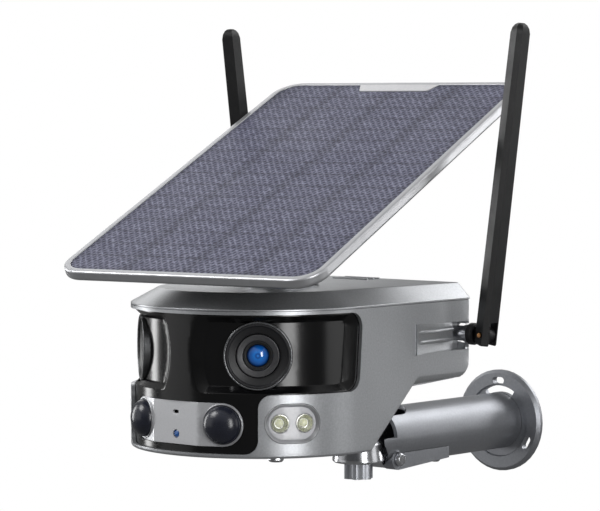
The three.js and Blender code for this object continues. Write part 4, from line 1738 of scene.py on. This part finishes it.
        corners = [
            (-2.5, -3.2, 0.2), (-0.25, -3.2, 0.2), (-0.25, 0.12, 0.3), (-0.6, 0.12, 0.25),
            (-2.2, -1.7, 0.2), (-2.5, -1.7, 0.2),
        ]
        rim = swept(stadium(*WINDOW_SIZE), rounded(corners, 0.3)).moved(wrap)
        finished(f"light_rim_{name}", rim, "camera", Finishes.ANODISED)
        wells = [circle(self.led_well, end * self.led_spacing) for end in (-1, 1)]
        flat, faces = cut_sheet(stadium(*self.window_pane), wells, spacing=2.2)
        level = np.full((len(flat), 1), -self.window_sink)
        window = Shape(wrap(np.hstack([flat, level])), faces)
        finished(
            f"light_window_{name}_surface", window, "camera", Finishes.FROSTED,
            [f"light_window_{name}"], thickness=1.8, bevel=0.3, outward=False,
        )
        for number, end in ((1, -1), (2, 1)):
            self.build_emitter(f"{name}_{number}", azimuth, end * self.led_spacing)

    def build_emitter(self, name: str, azimuth: float, across: float) -> None:
        """Reflector cup, and the chip under a clear bead in its middle.

        Up the bowl, at shares t of its height, the radius grows as t^0.8 and the height as t^1.4.
        The bead's section is a quarter ellipse.

        Args:
            name: Side and number.
            azimuth: Azimuth of the window.
            across: Sideways distance from the window's middle.
        """
        turn = math.degrees(math.asin(across / RADIUS))
        spot = facing(azimuth + turn, RADIUS - self.window_sink, WINDOW_HEIGHT)
        t = np.linspace(0, 1, 14)
        bowl = np.column_stack([2.6 + 2.0 * t**0.8, -2.6 + 2.3 * t**1.4])
        lip = [[4.9, 0.15], [5.2, 0.1], [5.35, -0.1], [5.35, -4.6], [0, -4.6], [0, -2.6]]
        cup = turned(spot, returned(np.vstack([lip, bowl])), 48)
        finished(
            f"led_emitter_{name}_surface", cup, "camera", Finishes.REFLECTOR,
            [f"led_emitter_{name}"],
        )
        rise = np.radians(np.linspace(0, 90, 12))
        bead = np.column_stack([2.5 * np.cos(rise), -2.8 + 2.2 * np.sin(rise)])
        chip = turned(spot, np.vstack([[0, -3.4], [2.5, -3.4], bead]), 32)
        finished(f"led_chip_{name}", chip, "camera", Finishes.PHOSPHOR)

    def build(self) -> None:
        """Builds every piece of the front."""
        self.build_visor()
        self.build_plate()
        for name, side in SIDES.items():
            self.build_lens(name, side)
            self.build_dome(name, side)
            self.build_light(name, side)


# ------------------------------------------------------------------ solar panel


@dataclass
class SolarPanel:
    """Tilted panel: rounded frame, laminate, tab, back with ribs, clevis and knob."""

    width: float = 180.2
    length: float = 269.5
    corner: float = 17.0
    height: float = 6.6
    wall: float = 4.2
    yaw: float = 7.57
    tilt: float = 24.3
    hinge: tuple[float, float, float] = (0.0, 20.0, 128.0)
    face: tuple[float, float, float] = (1.9, 26.5, 23.3)
    bevels: dict[str, float] = field(
        default_factory=lambda: {
            "swivel_base": 0.5,
            "swivel_post": 0.4,
            "panel_clevis": 0.5,
            "tilt_bolt": 0.3,
            "tilt_knob": 0.6,
            "junction_box": 1.0,
            "cable_gland": 0.3,
        }
    )

    @property
    def turn(self) -> Matrix:
        """Rotation of the panel: tilt about its width, then yaw about the upright."""
        yaw = Matrix.Rotation(math.radians(self.yaw), 3, "Z")
        return yaw @ Matrix.Rotation(math.radians(self.tilt), 3, "X")

    def place(self, points: Points) -> Points:
        """Sends panel points, with Z out of its face, to the head's frame."""
        matrix = np.array(self.turn)
        return np.array(self.hinge) + (points + np.array(self.face)) @ matrix.T

    def dress_laminate(self) -> None:
        """Gives the laminate its cells, with the pattern laid in the panel's plane."""
        middle = self.place(np.zeros((1, 3)))[0] * MM + HEAD
        finish = SolarLaminate(
            "embossed_laminate_over_solar_cells", "#5f6073", 0.55, 0.0, swing=0.04,
            swing_mm=60.0, grain_height_mm=0.12, specular=0.16,
            origin=tuple(middle), turn=tuple(self.turn.to_euler("XYZ")),
        )
        item = frame["nodes"]["solar_laminate"]
        item.data.materials.clear()
        item.data.materials.append(finish.material())

    def build_frame(self) -> None:
        """Frame: a rounded section carried round the panel, and the tab on its rear edge."""
        x, y, r = self.width / 2, self.length / 2, self.corner
        path = rounded([(x, y, r), (-x, y, r), (-x, -y, r), (x, -y, r)])
        corners = [
            (-self.wall, -self.height, 0.4), (0, -self.height, 2.4), (0, 0, 1.3),
            (-self.wall, 0, 0.35),
        ]
        shape = swept(path, rounded(corners, 0.3)).moved(self.place)
        finished(
            "panel_frame_surface", shape, "solar_panel", Finishes.ANODISED,
            ["panel_frame"],
        )
        rear, front = y - 2.2, y - 13.4
        tab = [(30, rear, 0.5), (-30, rear, 0.5), (-25, front, 2.5), (25, front, 2.5)]
        flat, faces = cut_sheet(rounded(tab, 1.0))
        raised = Shape(self.place(np.column_stack([flat, np.full(len(flat), -0.05)])), faces)
        finished(
            "panel_tab", raised, "solar_panel", Finishes.PALE,
            thickness=2.4, bevel=0.25, outward=False,
        )

    def build_ribs(self) -> None:
        """Low stiffening ribs on the back: half-round bars round the edge and to the hinge plate.

        A bar's section is half a circle whose height follows sin(t)^0.7.
        """
        x, y = self.width / 2 - 12, self.length / 2 - 14
        inner, front, rear = 34, -30, 84
        bars = [
            (-x, -y, x, -y), (-x, y, x, y), (-x, -y, -x, y), (x, -y, x, y),
            (-x, -y, -inner, front), (x, -y, inner, front),
            (-x, y, -inner, rear), (x, y, inner, rear),
        ]
        shapes = []
        for x0, y0, x1, y1 in bars:
            start, end = np.array([x0, y0, 0.0]), np.array([x1, y1, 0.0])
            along = (end - start) / np.linalg.norm(end - start)
            across = np.array([-along[1], along[0], 0.0])
            t = np.linspace(0, math.pi, 9)
            section = np.column_stack([1.1 * np.cos(t), -6.2 - 0.95 * np.sin(t) ** 0.7])
            ends = np.stack([start, end])
            line = ends[:, None] + section[None, :, :1] * across
            line = line + section[None, :, 1:] * np.array([0, 0, 1.0])
            shapes.append(grid(line, wrap_columns=True))
        shape = joined(shapes).moved(self.place)
        finished("panel_ribs", shape, "solar_panel", Finishes.BLACK)

    def build(self) -> None:
        """Builds the panel and what holds it."""
        self.dress_laminate()
        self.build_frame()
        self.build_ribs()
        refine_all(self.bevels)


# ------------------------------------------------------------------ antennas and bracket


@dataclass
class Antennas:
    """Two stub antennas on knuckles, with threaded sockets in the case."""

    bevels: dict[str, float] = field(
        default_factory=lambda: {
            "antenna_base": 0.45,
            "antenna_whip": 0.8,
            "antenna_pin": 0.5,
            "antenna_socket": 0.2,
        }
    )

    def build(self) -> None:
        """Builds both antennas."""
        for name in SIDES:
            refine_all({f"{node}_{name}": bevel for node, bevel in self.bevels.items()})


@dataclass
class Bracket:
    """Wall flange, arm, elbow and clamp."""

    bevels: dict[str, float] = field(
        default_factory=lambda: {
            "wall_flange": 0.3,
            "arm_tube": 0.4,
            "hinge_cheek_right": 0.6,
            "hinge_cheek_left": 0.6,
            "hinge_bolt": 0.3,
            "hinge_nut": 0.3,
            "arm_set_screw": 0.25,
            "elbow_head": 0.5,
            "clamp_knob": 0.5,
            "clamp_stud": 0.2,
        }
    )

    def build(self) -> None:
        """Builds the bracket's pieces."""
        refine_all(self.bevels)


# ------------------------------------------------------------------ studio


@dataclass(frozen=True)
class Lamp:
    """A soft rectangular lamp: its middle and its two sides in metres, and its power."""

    name: str
    place: tuple[float, float, float]
    size: tuple[float, float]
    watts: float


@dataclass
class Studio:
    """Camera, pale floor and soft lights."""

    eye: tuple[float, float, float] = (1.14014, -1.53411, 0.20812)
    target: tuple[float, float, float] = (0.03204, -0.24180, 0.11877)
    lens: float = 174.76
    floor: float = -0.30
    floor_half: float = 40.0
    lamp_target: tuple[float, float, float] = (0.0, -0.2, 0.08)
    lamps: tuple[Lamp, ...] = (
        Lamp("key_lamp", (-1.0, -1.5, 1.5), (1.0, 0.8), 24.0),
        Lamp("right_strip", (1.88, -0.92, 0.25), (0.50, 1.5), 23.0),
        Lamp("left_strip", (-1.96, -0.55, 0.20), (0.40, 1.4), 14.0),
        Lamp("front_fill", (-1.3, -1.75, 0.25), (1.4, 1.0), 3.2),
        Lamp("right_fill", (1.7, 0.75, 0.30), (0.8, 1.1), 3.2),
        Lamp("side_strip", (0.60, 1.70, 0.35), (0.50, 0.9), 7.0),
        Lamp("rear_lamp", (0.50, 1.50, 1.35), (1.3, 0.8), 11.0),
        Lamp("left_rear_lamp", (-1.5, 0.9, 1.0), (1.0, 0.9), 5.5),
    )

    def aim(self, place: Sequence[float], at: Sequence[float]) -> Euler:
        """Rotation that points an object's -Z from a place to another, with +Y up."""
        return (Vector(at) - Vector(place)).to_track_quat("-Z", "Y").to_euler()

    def build_camera(self) -> None:
        """Adds the camera and makes it the scene's own."""
        data = bpy.data.cameras.new("camera")
        data.lens = self.lens
        data.sensor_width = 36.0
        data.clip_end = 20.0
        item = bpy.data.objects.new("view_camera", data)
        item.location = self.eye
        item.rotation_euler = self.aim(self.eye, self.target)
        bpy.context.scene.collection.objects.link(item)
        bpy.context.scene.camera = item

    def light(self, lamp: Lamp) -> None:
        """Adds a lamp, turned to face the object.

        Args:
            lamp: Its place, size and power.
        """
        data = bpy.data.lights.new(lamp.name, "AREA")
        data.shape = "RECTANGLE"
        data.size, data.size_y = lamp.size
        data.energy = lamp.watts
        item = bpy.data.objects.new(lamp.name, data)
        item.location = lamp.place
        item.rotation_euler = self.aim(lamp.place, self.lamp_target)
        bpy.context.scene.collection.objects.link(item)

    def build_floor(self) -> None:
        """Adds a pale floor that shows white and throws little light back at the object."""
        half = self.floor_half
        corners = [(-half, -half), (half, -half), (half, half), (-half, half)]
        mesh = bpy.data.meshes.new("floor")
        mesh.from_pydata([(x, y, self.floor) for x, y in corners], [], [(0, 1, 2, 3)])
        floor = bpy.data.objects.new("studio_floor", mesh)
        bpy.context.scene.collection.objects.link(floor)
        material = bpy.data.materials.new("pale_floor")
        material.use_nodes = True
        tree = material.node_tree
        tree.nodes.clear()
        seen = add_node(tree, "LightPath").outputs["Is Camera Ray"]
        level = add_node(tree, "MapRange", {"Value": seen, "To Min": 0.16, "To Max": 1.0})
        glow = add_node(tree, "Emission", {"Color": (1, 1, 1, 1), "Strength": level.outputs[0]})
        add_node(tree, "OutputMaterial", {"Surface": glow.outputs["Emission"]})
        mesh.materials.append(material)

    def build_sky(self) -> None:
        """Adds a white backdrop, and for reflections a grey sky that is darkest at the horizon."""
        world = bpy.data.worlds.new("studio")
        bpy.context.scene.world = world
        world.use_nodes = True
        tree = world.node_tree
        tree.nodes.clear()
        seen = add_node(tree, "LightPath").outputs["Is Camera Ray"]
        upward = add_node(tree, "SeparateXYZ", {0: add_node(tree, "TexCoord").outputs["Generated"]})
        level = add_node(tree, "MapRange", {"Value": upward.outputs["Z"], "From Min": -1.0})
        sky = add_node(
            tree,
            "ValToRGB",
            {"Fac": level.outputs[0]},
            stops=[(0.0, 0.2), (0.45, 0.12), (0.56, 0.14), (0.8, 0.4), (1.0, 0.6)],
        ).outputs["Color"]
        soft = add_node(tree, "Background", {"Color": sky, "Strength": 1.0})
        white = add_node(tree, "Background", {"Color": (1, 1, 1, 1), "Strength": 1.0})
        both = add_node(tree, "MixShader", {0: seen, 1: soft.outputs[0], 2: white.outputs[0]})
        add_node(tree, "OutputWorld", {"Surface": both.outputs[0]})

    def build_surroundings(self) -> None:
        """Adds the floor, the sky and the lamps."""
        bpy.context.scene.view_settings.view_transform = "Standard"
        self.build_floor()
        self.build_sky()
        for lamp in self.lamps:
            self.light(lamp)


def dress_rest() -> None:
    """Gives every CAD node that still shows the finish of its slot."""
    for name, item in frame["nodes"].items():
        if item.hide_render or name == "solar_laminate":
            continue
        item.data.materials.clear()
        item.data.materials.append(SLOT_FINISH[NODE_SLOT[name]].value.material())


def main() -> None:
    """Builds the studio and every sub-assembly."""
    studio = Studio()
    studio.build_camera()
    for part in (Casing(), Front(), SolarPanel(), Antennas(), Bracket()):
        part.build()
    dress_rest()
    studio.build_surroundings()


if __name__ == "__main__":
    logging.basicConfig(level=logging.INFO, format="%(message)s")
    main()
